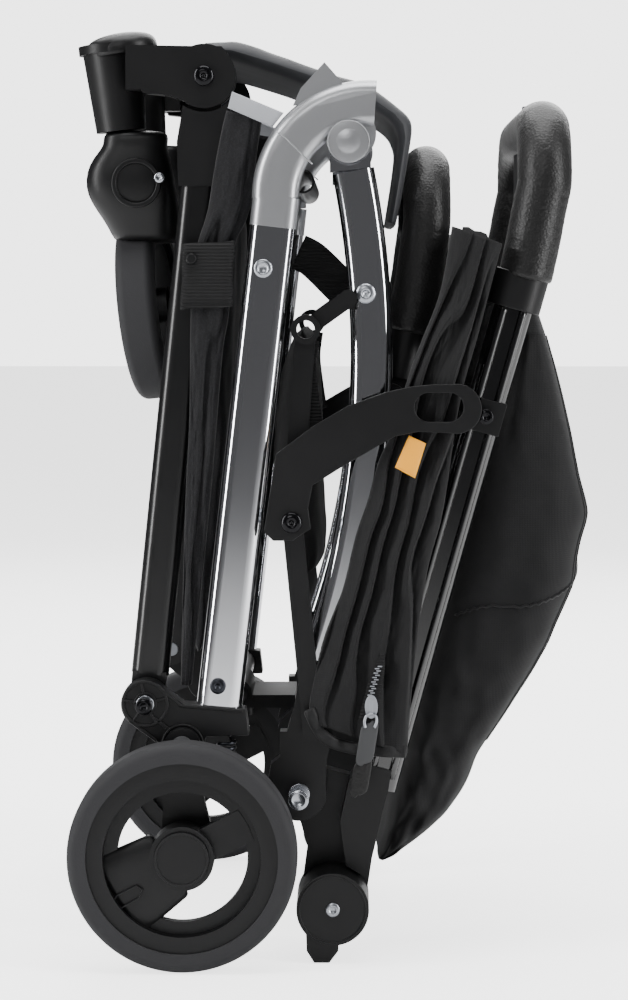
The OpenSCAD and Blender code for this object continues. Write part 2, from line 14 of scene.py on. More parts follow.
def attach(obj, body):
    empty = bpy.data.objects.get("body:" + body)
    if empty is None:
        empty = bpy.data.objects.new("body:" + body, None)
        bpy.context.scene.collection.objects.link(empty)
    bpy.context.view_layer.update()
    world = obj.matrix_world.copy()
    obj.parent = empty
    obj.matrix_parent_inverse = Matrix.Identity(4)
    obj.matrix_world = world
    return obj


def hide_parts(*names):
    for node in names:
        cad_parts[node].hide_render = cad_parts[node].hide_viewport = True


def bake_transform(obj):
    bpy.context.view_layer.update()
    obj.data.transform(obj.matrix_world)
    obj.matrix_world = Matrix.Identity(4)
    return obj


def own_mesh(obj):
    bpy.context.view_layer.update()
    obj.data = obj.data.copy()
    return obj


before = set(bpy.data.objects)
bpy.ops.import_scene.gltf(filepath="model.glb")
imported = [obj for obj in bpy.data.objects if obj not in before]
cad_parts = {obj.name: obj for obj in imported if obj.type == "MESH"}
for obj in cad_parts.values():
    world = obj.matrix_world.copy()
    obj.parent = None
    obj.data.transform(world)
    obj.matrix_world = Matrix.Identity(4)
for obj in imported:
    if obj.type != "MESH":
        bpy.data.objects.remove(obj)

logging.basicConfig(level=logging.INFO, format="%(message)s")
LOG = logging.getLogger("stroller")

MM = 0.001
Side = tuple[float, float]


class Hand(Enum):
    """The two sides of the stroller, with the sign of their Y."""

    LEFT = -1
    RIGHT = 1

    @property
    def word(self) -> str:
        """The side's name, as the frame's nodes and bodies spell it."""
        return self.name.lower()


class Weave(Enum):
    """How a cloth was woven, with the slope of its threads and how deep they stand."""

    TWILL = (45.0, 0.35)
    PLAIN = (0.0, 0.3)
    MELANGE = (20.0, 0.5)


# ---------- finishes ----------


def linear(code: str, alpha: float = 1.0) -> tuple[float, float, float, float]:
    """Turns an sRGB hex value to the linear colour that a shader takes.

    Args:
        code: Six hex digits, with or without a leading #.
        alpha: The fourth number.

    Returns:
        The linear red, green, blue and alpha.
    """
    code = code.lstrip("#")
    parts = [int(code[i : i + 2], 16) / 255 for i in (0, 2, 4)]
    red, green, blue = (p / 12.92 if p <= 0.04045 else ((p + 0.055) / 1.055) ** 2.4 for p in parts)
    return red, green, blue, alpha


def add(
    tree: bpy.types.NodeTree, kind: str, inputs: dict[str | int, object] | None = None, **settings: object
) -> bpy.types.Node:
    """Adds one node with its settings, values and links.

    Args:
        tree: The material's node tree.
        kind: The node's type, without the leading "ShaderNode".
        inputs: Socket name or number to a value, or to the output socket that feeds it.
        settings: Attributes of the node itself.

    Returns:
        The new node.
    """
    node = tree.nodes.new("ShaderNode" + kind)
    for name, value in settings.items():
        setattr(node, name, value)
    for name, value in (inputs or {}).items():
        if isinstance(value, bpy.types.NodeSocket):
            tree.links.new(value, node.inputs[name])
        else:
            node.inputs[name].default_value = value
    return node


@dataclass(frozen=True)
class Finish:
    """One surface finish: its shader values, and the colour and relief patterns that its making leaves."""

    name: str
    colour: str
    second: str
    roughness: float
    metallic: float = 0.0
    ior: float = 1.5
    coat: float = 0.0
    coat_roughness: float = 0.1
    sheen: float = 0.0
    blotch_mm: float = 40.0
    grain_mm: float = 0.0
    grain_depth: float = 0.0
    rough_spread: float = 0.06
    specular: float = 0.5

    def base(self) -> tuple[bpy.types.Material, bpy.types.NodeTree, bpy.types.Node, bpy.types.Node]:
        """Makes the material with its shader, uniform values and slow colour drift.

        Returns:
            The material, its tree, the shader node and the Object coordinates node.
        """
        material = bpy.data.materials.new(self.name)
        material.use_nodes = True
        tree = material.node_tree
        tree.nodes.clear()
        coords = add(tree, "TexCoord")
        drift = add(
            tree,
            "TexNoise",
            {"Vector": coords.outputs["Object"], "Scale": 1 / (self.blotch_mm * MM), "Detail": 3.0},
        )
        tint = add(
            tree,
            "MixRGB",
            {"Fac": drift.outputs["Fac"], "Color1": linear(self.colour), "Color2": linear(self.second)},
        )
        spread = add(
            tree,
            "MapRange",
            {
                "Value": drift.outputs["Fac"],
                "To Min": max(self.roughness - self.rough_spread, 0.02),
                "To Max": min(self.roughness + self.rough_spread, 1.0),
            },
        )
        shader = add(
            tree,
            "BsdfPrincipled",
            {
                "Base Color": tint.outputs["Color"],
                "Roughness": spread.outputs["Result"],
                "Metallic": self.metallic,
                "Coat Weight": self.coat,
                "Coat Roughness": self.coat_roughness,
                "Sheen Weight": self.sheen,
                "Specular IOR Level": self.specular,
            },
        )
        if self.metallic < 0.5:
            shader.inputs["IOR"].default_value = self.ior
        if self.sheen:
            shader.inputs["Sheen Roughness"].default_value = 0.45
        add(tree, "OutputMaterial", {"Surface": shader.outputs["BSDF"]})
        return material, tree, shader, coords

    def relief(
        self, tree: bpy.types.NodeTree, height: bpy.types.NodeSocket, shader: bpy.types.Node, depth_mm: float
    ) -> None:
        """Feeds a height pattern to the shader as bump.

        Args:
            tree: The material's node tree.
            height: The pattern, 0 to 1.
            shader: The shader node.
            depth_mm: What a height of 1 stands for.
        """
        bump = add(tree, "Bump", {"Height": height, "Strength": 1.0, "Distance": depth_mm * MM})
        tree.links.new(bump.outputs["Normal"], shader.inputs["Normal"])

    def make(self) -> bpy.types.Material:
        """Makes the finished material.

        Returns:
            The material.
        """
        material, tree, shader, coords = self.base()
        if self.grain_mm:
            grain = add(
                tree,
                "TexNoise",
                {"Vector": coords.outputs["Object"], "Scale": 1 / (self.grain_mm * MM), "Detail": 2.0},
            )
            self.relief(tree, grain.outputs["Fac"], shader, self.grain_depth)
        return material


@dataclass(frozen=True)
class WovenCloth(Finish):
    """Polyester cloth: crossing threads in low relief, with light and dark yarns."""

    weave: Weave = Weave.PLAIN
    thread_mm: float = 1.5
    yarn: str = "#000000"
    yarn_share: float = 0.0

    def make(self) -> bpy.types.Material:
        """Makes the cloth, with two crossing sets of threads on every facing of the piece.

        Returns:
            The material.
        """
        material, tree, shader, coords = self.base()
        slope, depth = self.weave.value
        turned = add(
            tree,
            "Mapping",
            {"Vector": coords.outputs["Object"], "Rotation": (radians(slope), radians(slope), radians(30))},
        )
        heights = []
        for axis in ("X", "Z"):
            threads = add(
                tree,
                "TexWave",
                # A wave of scale s repeats every 0.314 / s, so this gives the thread spacing.
                {
                    "Vector": turned.outputs["Vector"],
                    "Scale": 0.314 / (self.thread_mm * MM),
                    "Distortion": 0.6,
                    "Detail": 1.0,
                },
                bands_direction=axis,
            )
            heights.append(threads.outputs["Fac"])
        both = add(tree, "Math", {0: heights[0], 1: heights[1]}, operation="MULTIPLY")
        fuzz = add(
            tree, "TexNoise", {"Vector": coords.outputs["Object"], "Scale": 1 / (0.9 * MM), "Detail": 2.0}
        )
        height = add(
            tree, "Math", {0: both.outputs[0], 1: fuzz.outputs["Fac"], 2: 0.4}, operation="MULTIPLY_ADD"
        )
        self.relief(tree, height.outputs[0], shader, depth * 0.5)
        if self.yarn_share:
            speck = add(
                tree,
                "TexNoise",
                {"Vector": turned.outputs["Vector"], "Scale": 1 / (1.3 * MM), "Detail": 1.0},
            )
            picked = add(
                tree,
                "MapRange",
                {"Value": speck.outputs["Fac"], "From Min": 0.5, "From Max": 0.62, "To Max": self.yarn_share},
            )
            tint = shader.inputs["Base Color"].links[0].from_socket
            mixed = add(
                tree, "MixRGB", {"Fac": picked.outputs["Result"], "Color1": tint, "Color2": linear(self.yarn)}
            )
            tree.links.new(mixed.outputs["Color"], shader.inputs["Base Color"])
        return material


@dataclass(frozen=True)
class Leather(Finish):
    """Embossed synthetic leather: small rounded cells over soft creases, in low relief."""

    cell_mm: float = 1.8

    def make(self) -> bpy.types.Material:
        """Makes the leather from crumpled cells.

        Returns:
            The material.
        """
        material, tree, shader, coords = self.base()
        cells = add(
            tree,
            "TexVoronoi",
            {"Vector": coords.outputs["Object"], "Scale": 1 / (self.cell_mm * MM), "Randomness": 1.0},
            feature="F1",
        )
        creases = add(
            tree, "TexNoise", {"Vector": coords.outputs["Object"], "Scale": 1 / (6 * MM), "Detail": 4.0}
        )
        height = add(
            tree,
            "Math",
            {0: creases.outputs["Fac"], 1: 1.2, 2: cells.outputs["Distance"]},
            operation="MULTIPLY_ADD",
        )
        self.relief(tree, height.outputs[0], shader, 0.22)
        return material


@dataclass(frozen=True)
class DrawnTube(Finish):
    """Drawn metal tube: fine lines along its length under plating or anodising."""

    def make(self) -> bpy.types.Material:
        """Makes the tube's metal with faint lines along Z.

        Returns:
            The material.
        """
        material, tree, shader, coords = self.base()
        stretched = add(tree, "Mapping", {"Vector": coords.outputs["Object"], "Scale": (1.0, 1.0, 0.02)})
        lines = add(
            tree, "TexNoise", {"Vector": stretched.outputs["Vector"], "Scale": 1 / (1.2 * MM), "Detail": 2.0}
        )
        self.relief(tree, lines.outputs["Fac"], shader, 0.008)
        return material


@dataclass(frozen=True)
class Webbing(Finish):
    """Woven strap: ribs across the strap, 2.2 mm apart."""

    def make(self) -> bpy.types.Material:
        """Makes the strap's ribs.

        Returns:
            The material.
        """
        material, tree, shader, coords = self.base()
        ribs = add(
            tree,
            "TexWave",
            {"Vector": coords.outputs["Object"], "Scale": 0.314 / (2.2 * MM), "Distortion": 0.3},
            bands_direction="Z",
        )
        self.relief(tree, ribs.outputs["Fac"], shader, 0.5)
        return material


class Palette:
    """Every finish on the stroller, made once and looked up by name."""

    def __init__(self) -> None:
        """Makes all the materials."""
        finishes = [
            # Chrome plate over drawn aluminium: a near mirror, so its shape shows as light and dark bands.
            DrawnTube("chrome_plated_tube", "#e4e5e8", "#d8d9dd", 0.09, metallic=1.0, rough_spread=0.02),
            # Die-cast zinc with a satin silver coat: soft grey, with a slight orange peel.
            Finish(
                "satin_silver_casting", "#b6b7b9", "#a7a8ab", 0.34, metallic=0.85, grain_mm=1.6,
                grain_depth=0.03, rough_spread=0.04,
            ),
            # Glass-filled nylon from a spark-eroded mould: deep black, with 0.5 mm pits drawn at 0.8.
            Finish(
                "moulded_black_nylon", "#09090a", "#0e0e0f", 0.4, grain_mm=0.8, grain_depth=0.05,
                specular=0.32,
            ),
            # The same nylon, polished at the mould for the wheels' faces.
            Finish(
                "moulded_wheel_nylon", "#0b0b0c", "#111112", 0.38, grain_mm=1.1, grain_depth=0.05,
                specular=0.32,
            ),
            # Black anodised aluminium tube: satin with a tight highlight along it.
            DrawnTube(
                "black_anodised_tube", "#030304", "#060607", 0.3, specular=0.35, coat=0.25,
                coat_roughness=0.18, ior=1.6,
            ),
            # Gloss black powder coat on the handle tubes: twin bright lines along each rounded edge.
            DrawnTube("gloss_black_tube", "#040405", "#070708", 0.14, coat=0.8, coat_roughness=0.06, ior=1.6),
            # Closed-cell EVA foam tread: matt charcoal with fine pores, 0.6 mm pores drawn at 1.2.
            Finish(
                "eva_foam_tyre", "#252527", "#2d2d2f", 0.68, specular=0.3, sheen=0.03, grain_mm=1.2,
                grain_depth=0.12,
            ),
            # Zinc-plated steel pins and rivets.
            Finish(
                "zinc_plated_steel", "#b9bcc2", "#9da0a6", 0.28, metallic=1.0, grain_mm=1.0, grain_depth=0.01
            ),
            # Blued spring wire.
            Finish("oiled_spring_steel", "#3d3f44", "#2c2d31", 0.35, metallic=1.0),
            # Bumper and grip cover.
            Leather(
                "embossed_leatherette", "#070707", "#0c0b0b", 0.45, specular=0.35, coat=0.06,
                coat_roughness=0.3, sheen=0.1,
            ),
            # Seat and canopy cloth: 300 denier polyester, 0.5 mm threads drawn at 1.5.
            WovenCloth(
                "black_polyester_canvas", "#0d0d0e", "#131314", 0.78, specular=0.3, sheen=0.06,
                weave=Weave.PLAIN,
            ),
            # Heathered polyester: light and dark yarns twisted together.
            WovenCloth(
                "charcoal_melange_cloth", "#131314", "#19191b", 0.86, specular=0.25, sheen=0.08,
                weave=Weave.MELANGE,
                thread_mm=1.4, yarn="#222225", yarn_share=0.5,
            ),
            # Silver-grey binding on the basket's rim.
            WovenCloth(
                "silver_binding", "#a9abb0", "#94969b", 0.6, sheen=0.2, weave=Weave.TWILL, thread_mm=1.6
            ),
            # Rubberised band over the folded seat: matt grey with a soft edge.
            Finish(
                "rubberised_grey_band", "#26272a", "#2e2f32", 0.58, specular=0.4, sheen=0.05, grain_mm=1.4,
                grain_depth=0.06,
            ),
            # Polypropylene webbing.
            Webbing("black_webbing", "#060607", "#0c0c0d", 0.68, specular=0.25, sheen=0.04),
            # Polished black steel: domed rivets and screw heads.
            Finish("blackened_steel_rivet", "#111113", "#17171a", 0.16, metallic=0.7, ior=1.6),
            # Rubber pull and small grey mouldings.
            Finish("grey_moulded_rubber", "#2f3031", "#38393b", 0.5, grain_mm=0.9, grain_depth=0.05),
            # Satin chrome push button.
            Finish("satin_chrome_button", "#c9cbcf", "#bfc1c5", 0.22, metallic=1.0),
            # Sewn label: yellow satin tape.
            WovenCloth("yellow_satin_tape", "#ffae00", "#f7a200", 0.55, sheen=0.2, thread_mm=1.0),
            # Seam thread and piping.
            WovenCloth("black_piping", "#0a0a0b", "#101011", 0.55, specular=0.3, sheen=0.05, thread_mm=1.2),
        ]
        self._made: dict[str, bpy.types.Material] = {f.name: f.make() for f in finishes}
        ground = Finish("seamless_paper", "#f4f4f4", "#f2f2f2", 0.9, blotch_mm=400)
        self._made[ground.name] = ground.make()

    def __getitem__(self, name: str) -> bpy.types.Material:
        """The material of that name."""
        return self._made[name]


# ---------- mesh work ----------


def place(x: float, z: float, y: float) -> Vector:
    """A point given in millimetres along X, along Z and along Y, in metres."""
    return Vector((x * MM, y * MM, z * MM))


def between(a: Side, b: Side, share: float) -> Side:
    """The side point that lies a share of the way from a to b."""
    return a[0] + (b[0] - a[0]) * share, a[1] + (b[1] - a[1]) * share


def squared(wave: float, power: float) -> float:
    """A sine or cosine raised to a power with its sign kept, which squares off a round section."""
    return copysign(abs(wave) ** power, wave)


def spline(points: Sequence[Side], count: int) -> list[Side]:
    """Runs one smooth curve through side points, at even steps along its length.

    Args:
        points: The points, in order.
        count: How many points come back.

    Returns:
        Points on the curve.
    """
    fine: list[Side] = []
    last = len(points) - 1
    for i in range(last):
        p = [points[max(i - 1, 0)], points[i], points[i + 1], points[min(i + 2, last)]]
        for f in (k / 16 for k in range(16)):
            fine.append(
                tuple(
                    0.5
                    * (
                        2 * p[1][c]
                        + (p[2][c] - p[0][c]) * f
                        + (2 * p[0][c] - 5 * p[1][c] + 4 * p[2][c] - p[3][c]) * f * f
                        + (3 * p[1][c] - p[0][c] - 3 * p[2][c] + p[3][c]) * f**3
                    )
                    for c in (0, 1)
                )
            )
    fine.append(tuple(points[-1]))
    run = [0.0]
    for a, b in zip(fine, fine[1:]):
        run.append(run[-1] + sqrt((b[0] - a[0]) ** 2 + (b[1] - a[1]) ** 2))
    out: list[Side] = []
    i = 0
    for k in range(count):
        want = run[-1] * k / (count - 1)
        while i < len(run) - 2 and run[i + 1] < want:
            i += 1
        f = (want - run[i]) / max(run[i + 1] - run[i], 1e-9)
        out.append(between(fine[i], fine[i + 1], f))
    return out


def loft(
    bm: bmesh.types.BMesh, rows: Sequence[Sequence[Vector]], closed: bool = False, capped: bool = False
) -> None:
    """Draws the first row as an open or closed line and extrudes it edge by edge through the others.

    Args:
        bm: The mesh that the surface goes into.
        rows: Rows of points, all with the same count.
        closed: Whether each row is a ring.
        capped: Whether the two end rings are filled.
    """
    ring = [bm.verts.new(p) for p in rows[0]]
    pairs = list(zip(ring, ring[1:])) + ([(ring[-1], ring[0])] if closed else [])
    edges = [bm.edges.new(pair) for pair in pairs]
    ends = [list(edges)]
    for row in rows[1:]:
        grown = bmesh.ops.extrude_edge_only(bm, edges=edges)
        order = {v: i for i, v in enumerate(ring)}
        fresh: list[bmesh.types.BMVert] = [ring[0]] * len(ring)
        for v in (g for g in grown["geom"] if isinstance(g, bmesh.types.BMVert)):
            for e in v.link_edges:
                if e.other_vert(v) in order:
                    fresh[order[e.other_vert(v)]] = v
        for v, p in zip(fresh, row):
            v.co = p
        ring = fresh
        pairs = list(zip(ring, ring[1:])) + ([(ring[-1], ring[0])] if closed else [])
        edges = [bm.edges.get(pair) for pair in pairs]
    ends.append(edges)
    if capped:
        for end in ends:
            bmesh.ops.holes_fill(bm, edges=end)


def sweep(
    bm: bmesh.types.BMesh, path: Sequence[Vector], radius: Callable[[float, float], float], around: int = 28
) -> None:
    """Runs a round section along a path without twisting it.

    Args:
        bm: The mesh that the tube goes into.
        path: The centre line.
        radius: The radius at a share of the path's length and an angle about it.
        around: Points in each ring.
    """
    rows = []
    side = Vector((1, 0, 0))
    for i, p in enumerate(path):
        ahead = (path[min(i + 1, len(path) - 1)] - path[max(i - 1, 0)]).normalized()
        side = (side - ahead * side.dot(ahead)).normalized()
        other = ahead.cross(side)
        share = i / (len(path) - 1)
        rows.append(
            [
                p + (side * cos(a) + other * sin(a)) * radius(share, a)
                for a in (2 * pi * k / around for k in range(around))
            ]
        )
    loft(bm, rows, closed=True, capped=True)


def bundle(
    bm: bmesh.types.BMesh,
    left: Sequence[Side],
    right: Sequence[Side],
    near: float,
    far: float,
    rows: int,
    pleats: float,
    depth: float,
    hand: Hand,
    cols: int = 48,
) -> None:
    """Hangs one gathered side of cloth between two side lines, pleated on its outer face and closed behind.

    Args:
        bm: The mesh that the cloth goes into.
        left: Its front line, top to bottom.
        right: Its rear line, top to bottom.
        near: Where its inner face is, from the centre line, in millimetres.
        far: Where its outer face is.
        rows: Rows from top to bottom.
        pleats: How many pleats lie across it.
        depth: How deep the pleats are.
        hand: The side it is on.
        cols: Points across its outer face.
    """
    a, b = spline(left, rows), spline(right, rows)
    rings = []
    for r in range(rows):
        v = r / (rows - 1)
        ring = []
        ease = min(1.0, 6 * v + 0.25) * min(1.0, 5 * (1 - v) + 0.35)
        for c in range(cols):
            u = c / (cols - 1)
            drift = (
                0.75 * noise.noise(Vector((u * 1.7, v * 3.4, 4.0)))
                + 0.25 * noise.noise(Vector((u * 4, v * 7, 1.0)))
            )
            count = pleats * (0.55 + 0.45 * min(1.0, v * 1.8))
            turn = count * (u**0.85 + 0.1 * sin(3.4 * v + 0.6)) + drift
            turn -= int(turn) if turn > 0 else int(turn) - 1
            fold = turn**0.8 if turn < 0.84 else 0.87 * sqrt(max(0.0, (1 - turn) / 0.16))
            crumple = (
                2.2 * noise.noise(Vector((u * 3.5, v * 11, 9.5)))
                + 1.1 * noise.noise(Vector((u * 9, v * 30, 2.5)))
                + 0.5 * noise.noise(Vector((u * 22, v * 60, 7.5)))
            )
            edge = sqrt(max(0.0, 1 - (2 * u - 1) ** 6))
            out = near + (far - near - depth * (1 - fold) * ease + crumple * ease) * edge
            x, z = between(a[r], b[r], u)
            ring.append(place(x, z, hand.value * max(out, near)))
        for c in range(10, 0, -1):
            u = c / 11
            x, z = between(a[r], b[r], u)
            ring.append(place(x, z, hand.value * (near - 0.8 * sin(pi * u))))
        rings.append(ring)
    loft(bm, rings, closed=True, capped=True)


def finish_piece(
    name: str,
    bm: bmesh.types.BMesh,
    material: bpy.types.Material,
    smooth: bool = True,
    body: str | None = None,
    subdivide: int = 0,
    thickness: float = 0.0,
    bevel: float = 0.0,
) -> bpy.types.Object:
    """Turns a finished bmesh into an object at the origin, with outward faces and its live modifiers.

    Args:
        name: The piece's name.
        bm: Its mesh, in metres; freed here.
        material: Its finish.
        smooth: Whether it shades smooth.
        body: The frame body that it rides on, if it rides on one straight away.
        subdivide: Subdivision level.
        thickness: Solidify thickness in millimetres, for an open sheet.
        bevel: Width of a rounded edge in millimetres.

    Returns:
        The new object.
    """
    bmesh.ops.remove_doubles(bm, verts=bm.verts[:], dist=1e-6)
    bmesh.ops.recalc_face_normals(bm, faces=bm.faces[:])
    for f in bm.faces:
        f.smooth = smooth
    mesh = bpy.data.meshes.new(name)
    bm.to_mesh(mesh)
    bm.free()
    mesh.materials.append(material)
    piece = bpy.data.objects.new(name, mesh)
    bpy.context.scene.collection.objects.link(piece)
    if bevel:
        rounded = piece.modifiers.new("rounded_edges", "BEVEL")
        rounded.width = bevel * MM
        rounded.segments = 2
        rounded.limit_method = "ANGLE"
        rounded.angle_limit = radians(32)
        rounded.harden_normals = True
    if thickness:
        wall = piece.modifiers.new("cloth_thickness", "SOLIDIFY")
        wall.thickness = thickness * MM
        wall.offset = 0.0
    if subdivide:
        smoother = piece.modifiers.new("smooth", "SUBSURF")
        smoother.levels = smoother.render_levels = subdivide
    if body:
        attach(piece, body)
    LOG.info("%s: %d faces", name, len(mesh.polygons))
    return piece


def rounded_copy(node: str, body: str, material: bpy.types.Material, width: float) -> bpy.types.Object:
    """Stands a copy of a frame part, with moulded round edges, in for the part.

    Args:
        node: The part's node.
        body: The body it rides on.
        material: Its finish.
        width: The edge radius in millimetres.

    Returns:
        The copy.
    """
    bm = bmesh.new()
    bm.from_mesh(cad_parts[node].data)
    bmesh.ops.remove_doubles(bm, verts=bm.verts[:], dist=2e-6)
    bmesh.ops.dissolve_limit(bm, angle_limit=radians(1), verts=bm.verts[:], edges=bm.edges[:])
    bmesh.ops.recalc_face_normals(bm, faces=bm.faces[:])
    for e in bm.edges:
        e.smooth = len(e.link_faces) == 2 and e.calc_face_angle(0.0) < radians(32)
    piece = finish_piece(node + "_moulding", bm, material, body=body, bevel=width)
    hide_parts(node)
    return piece


def straight_rib(
    bm: bmesh.types.BMesh, a: Side, b: Side, width: float, low: float, high: float, hand: Hand
) -> None:
    """Adds one straight rib standing on a side face.

    Args:
        bm: The mesh that it goes into.
        a: Its first end.
        b: Its second end.
        width: Its width.
        low: Its foot, from the centre line.
        high: Its top.
        hand: The side.
    """
    made = bmesh.ops.create_cube(bm, size=1.0)["verts"]
    length = sqrt((b[0] - a[0]) ** 2 + (b[1] - a[1]) ** 2)
    bmesh.ops.scale(bm, vec=Vector((length, high - low, width)) * MM, verts=made)
    ahead = Vector((b[0] - a[0], 0.0, b[1] - a[1])).normalized()
    up = Vector((-ahead.z, 0.0, ahead.x))
    turn = Matrix((ahead, Vector((0, 1, 0)), up)).transposed()
    bmesh.ops.rotate(bm, cent=(0, 0, 0), matrix=turn, verts=made)
    middle = place((a[0] + b[0]) / 2, (a[1] + b[1]) / 2, hand.value * (low + high) / 2)
    bmesh.ops.translate(bm, vec=middle, verts=made)


def round_rib(
    bm: bmesh.types.BMesh, at: Side, outer: float, inner: float, low: float, high: float, hand: Hand
) -> None:
    """Adds one round rib standing on a side face.

    Args:
        bm: The mesh that it goes into.
        at: Its centre.
        outer: Its outer radius.
        inner: Its inner radius.
        low: Its foot, from the centre line.
        high: Its top.
        hand: The side.
    """
    section = [(outer, low), (outer, high), (inner, high), (inner, low)]
    first = [bm.verts.new(place(at[0] + radius, at[1], hand.value * y)) for radius, y in section]
    line = [bm.edges.new(pair) for pair in zip(first, first[1:] + first[:1])]
    turn_about(bm, first + line, (0, 1, 0), 48, centre=place(at[0], at[1], 0))


def turn_about(
    bm: bmesh.types.BMesh,
    outline: list,
    axis: tuple[int, int, int],
    steps: int,
    centre: Sequence[float] = (0, 0, 0),
) -> None:
    """Spins an outline once round an axis and joins its end to its start.

    Args:
        bm: The mesh that holds the outline.
        outline: Its points and edges.
        axis: The axis.
        steps: Facets round the turn.
        centre: A point on the axis.
    """
    bmesh.ops.spin(bm, geom=outline, cent=centre, axis=axis, angle=2 * pi, steps=steps, use_merge=True)


def set_down(
    bm: bmesh.types.BMesh, verts: Sequence[bmesh.types.BMVert], at: Vector, angle: float, axis: str = "X"
) -> None:
    """Turns part of a mesh about the origin, then moves it to its place.

    Args:
        bm: The mesh.
        verts: The part's points.
        at: The place.
        angle: How far it turns, in radians.
        axis: The axis that it turns about.
    """
    bmesh.ops.rotate(bm, cent=(0, 0, 0), matrix=Matrix.Rotation(angle, 3, axis), verts=verts)
    bmesh.ops.translate(bm, vec=at, verts=verts)


# ---------- sub-assemblies ----------


@dataclass
class HardParts:
    """The frame's own parts: their finishes, and which of them show moulded round edges."""

    rounded: dict[str, tuple[str, str, float]] = field(
        default_factory=lambda: {
            "elbow": ("rear_frame", "satin_silver_casting", 1.6),
            "rear_bracket": ("rear_frame", "moulded_black_nylon", 1.4),
            "front_arm": ("front_arms", "moulded_black_nylon", 1.5),
            "handle_bracket": ("handle_frame", "moulded_black_nylon", 1.8),
        }
    )
    rounded_own_body: dict[str, tuple[str, str, float]] = field(
        default_factory=lambda: {
            "swing_arm": ("suspension_{}", "moulded_black_nylon", 1.2),
            "lock_arm": ("lock_arm_{}_body", "moulded_black_nylon", 1.1),
            "rear_rim": ("rear_wheel_{}", "moulded_wheel_nylon", 0.9),
            "front_rim": ("front_wheel_{}", "moulded_wheel_nylon", 0.8),
            "rear_hub_cap": ("rear_wheel_{}", "moulded_black_nylon", 1.0),
        }
    )
    rounded_single: dict[str, tuple[str, str, float]] = field(
        default_factory=lambda: {
            "front_leg_sleeves": ("front_legs", "moulded_black_nylon", 1.2),
            "brake_pedal": ("brake", "moulded_black_nylon", 1.5),
            "seat_tube_ends": ("seat_frame", "moulded_black_nylon", 1.4),
            "seat_rails": ("seat_frame", "moulded_black_nylon", 0.9),
            "bumper_ends": ("bumper", "moulded_black_nylon", 1.4),
            "handle_collars": ("handle_frame", "moulded_black_nylon", 0.9),
            "handle_clamps": ("handle_frame", "moulded_black_nylon", 0.9),
            "fold_trigger": ("trigger", "moulded_black_nylon", 1.8),
            "fold_button": ("button", "satin_chrome_button", 0.8),
            "frame_pins": ("rear_frame", "zinc_plated_steel", 0.5),
            "seat_pins": ("seat_frame", "zinc_plated_steel", 0.5),
            "arm_pins": ("front_legs", "oiled_spring_steel", 0.5),
        }
    )
    plain: dict[str, str] = field(
        default_factory=lambda: {
            "rear_leg_left": "chrome_plated_tube",
            "rear_leg_right": "chrome_plated_tube",
            "seat_tube_left": "chrome_plated_tube",
            "seat_tube_right": "chrome_plated_tube",
            "seat_tube_tops": "chrome_plated_tube",
            "frame_cross_tubes": "black_anodised_tube",
            "front_leg_left": "black_anodised_tube",
            "front_leg_right": "black_anodised_tube",
            "footrest_tube": "black_anodised_tube",
            "front_axle_tube": "black_anodised_tube",
            "seat_cross_tube": "black_anodised_tube",
            "handle_tube_left": "gloss_black_tube",
            "handle_tube_right": "gloss_black_tube",
            "rear_tyre_left": "eva_foam_tyre",
            "rear_tyre_right": "eva_foam_tyre",
            "front_tyre_left": "eva_foam_tyre",
            "front_tyre_right": "eva_foam_tyre",
        }
    )

    def dress(self, palette: Palette) -> None:
        """Gives each part its finish.

        Args:
            palette: The finishes.
        """
        for hand in Hand:
            for stem, (body, finish, width) in self.rounded.items():
                rounded_copy(f"{stem}_{hand.word}", body, palette[finish], width)
            for stem, (body, finish, width) in self.rounded_own_body.items():
                rounded_copy(f"{stem}_{hand.word}", body.format(hand.word), palette[finish], width)
        for node, (body, finish, width) in self.rounded_single.items():
            rounded_copy(node, body, palette[finish], width)
        for node, finish in self.plain.items():
            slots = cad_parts[node].material_slots
            if len(slots) == 0:
                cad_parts[node].data.materials.append(palette[finish])
            for slot in slots:
                slot.material = palette[finish]


@dataclass
class CoilSprings:
    """The two coil springs over the swing arms, fixed to the rear frame."""

    centre: Side = (-71.0, 126.5)
    height: float = 18.4
    out: float = 168.0
    coil: float = 5.5
    wire: float = 1.2
    turns: int = 5
    steps: int = 18
    seat: float = 150.0
    shortened: float = 0.84

    def build(self, palette: Palette) -> None:
        """Winds both springs.

        Args:
            palette: The finishes.
        """
        x, z = self.centre
        count = self.turns * self.steps
        for hand in Hand:
            y = hand.value * self.out
            path = []
            for k in range(count + 1):
                a = 2 * pi * k / self.steps
                path.append(
                    place(x + self.coil * cos(a), z + self.height * k / count, y + self.coil * sin(a))
                )
            bm = bmesh.new()
            sweep(bm, path, lambda share, angle: self.wire * MM, around=12)
            name = f"coil_spring_{hand.word}"
            spring = finish_piece(name, bm, palette["oiled_spring_steel"], body="rear_frame")
            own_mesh(spring)
            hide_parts("suspension_springs")


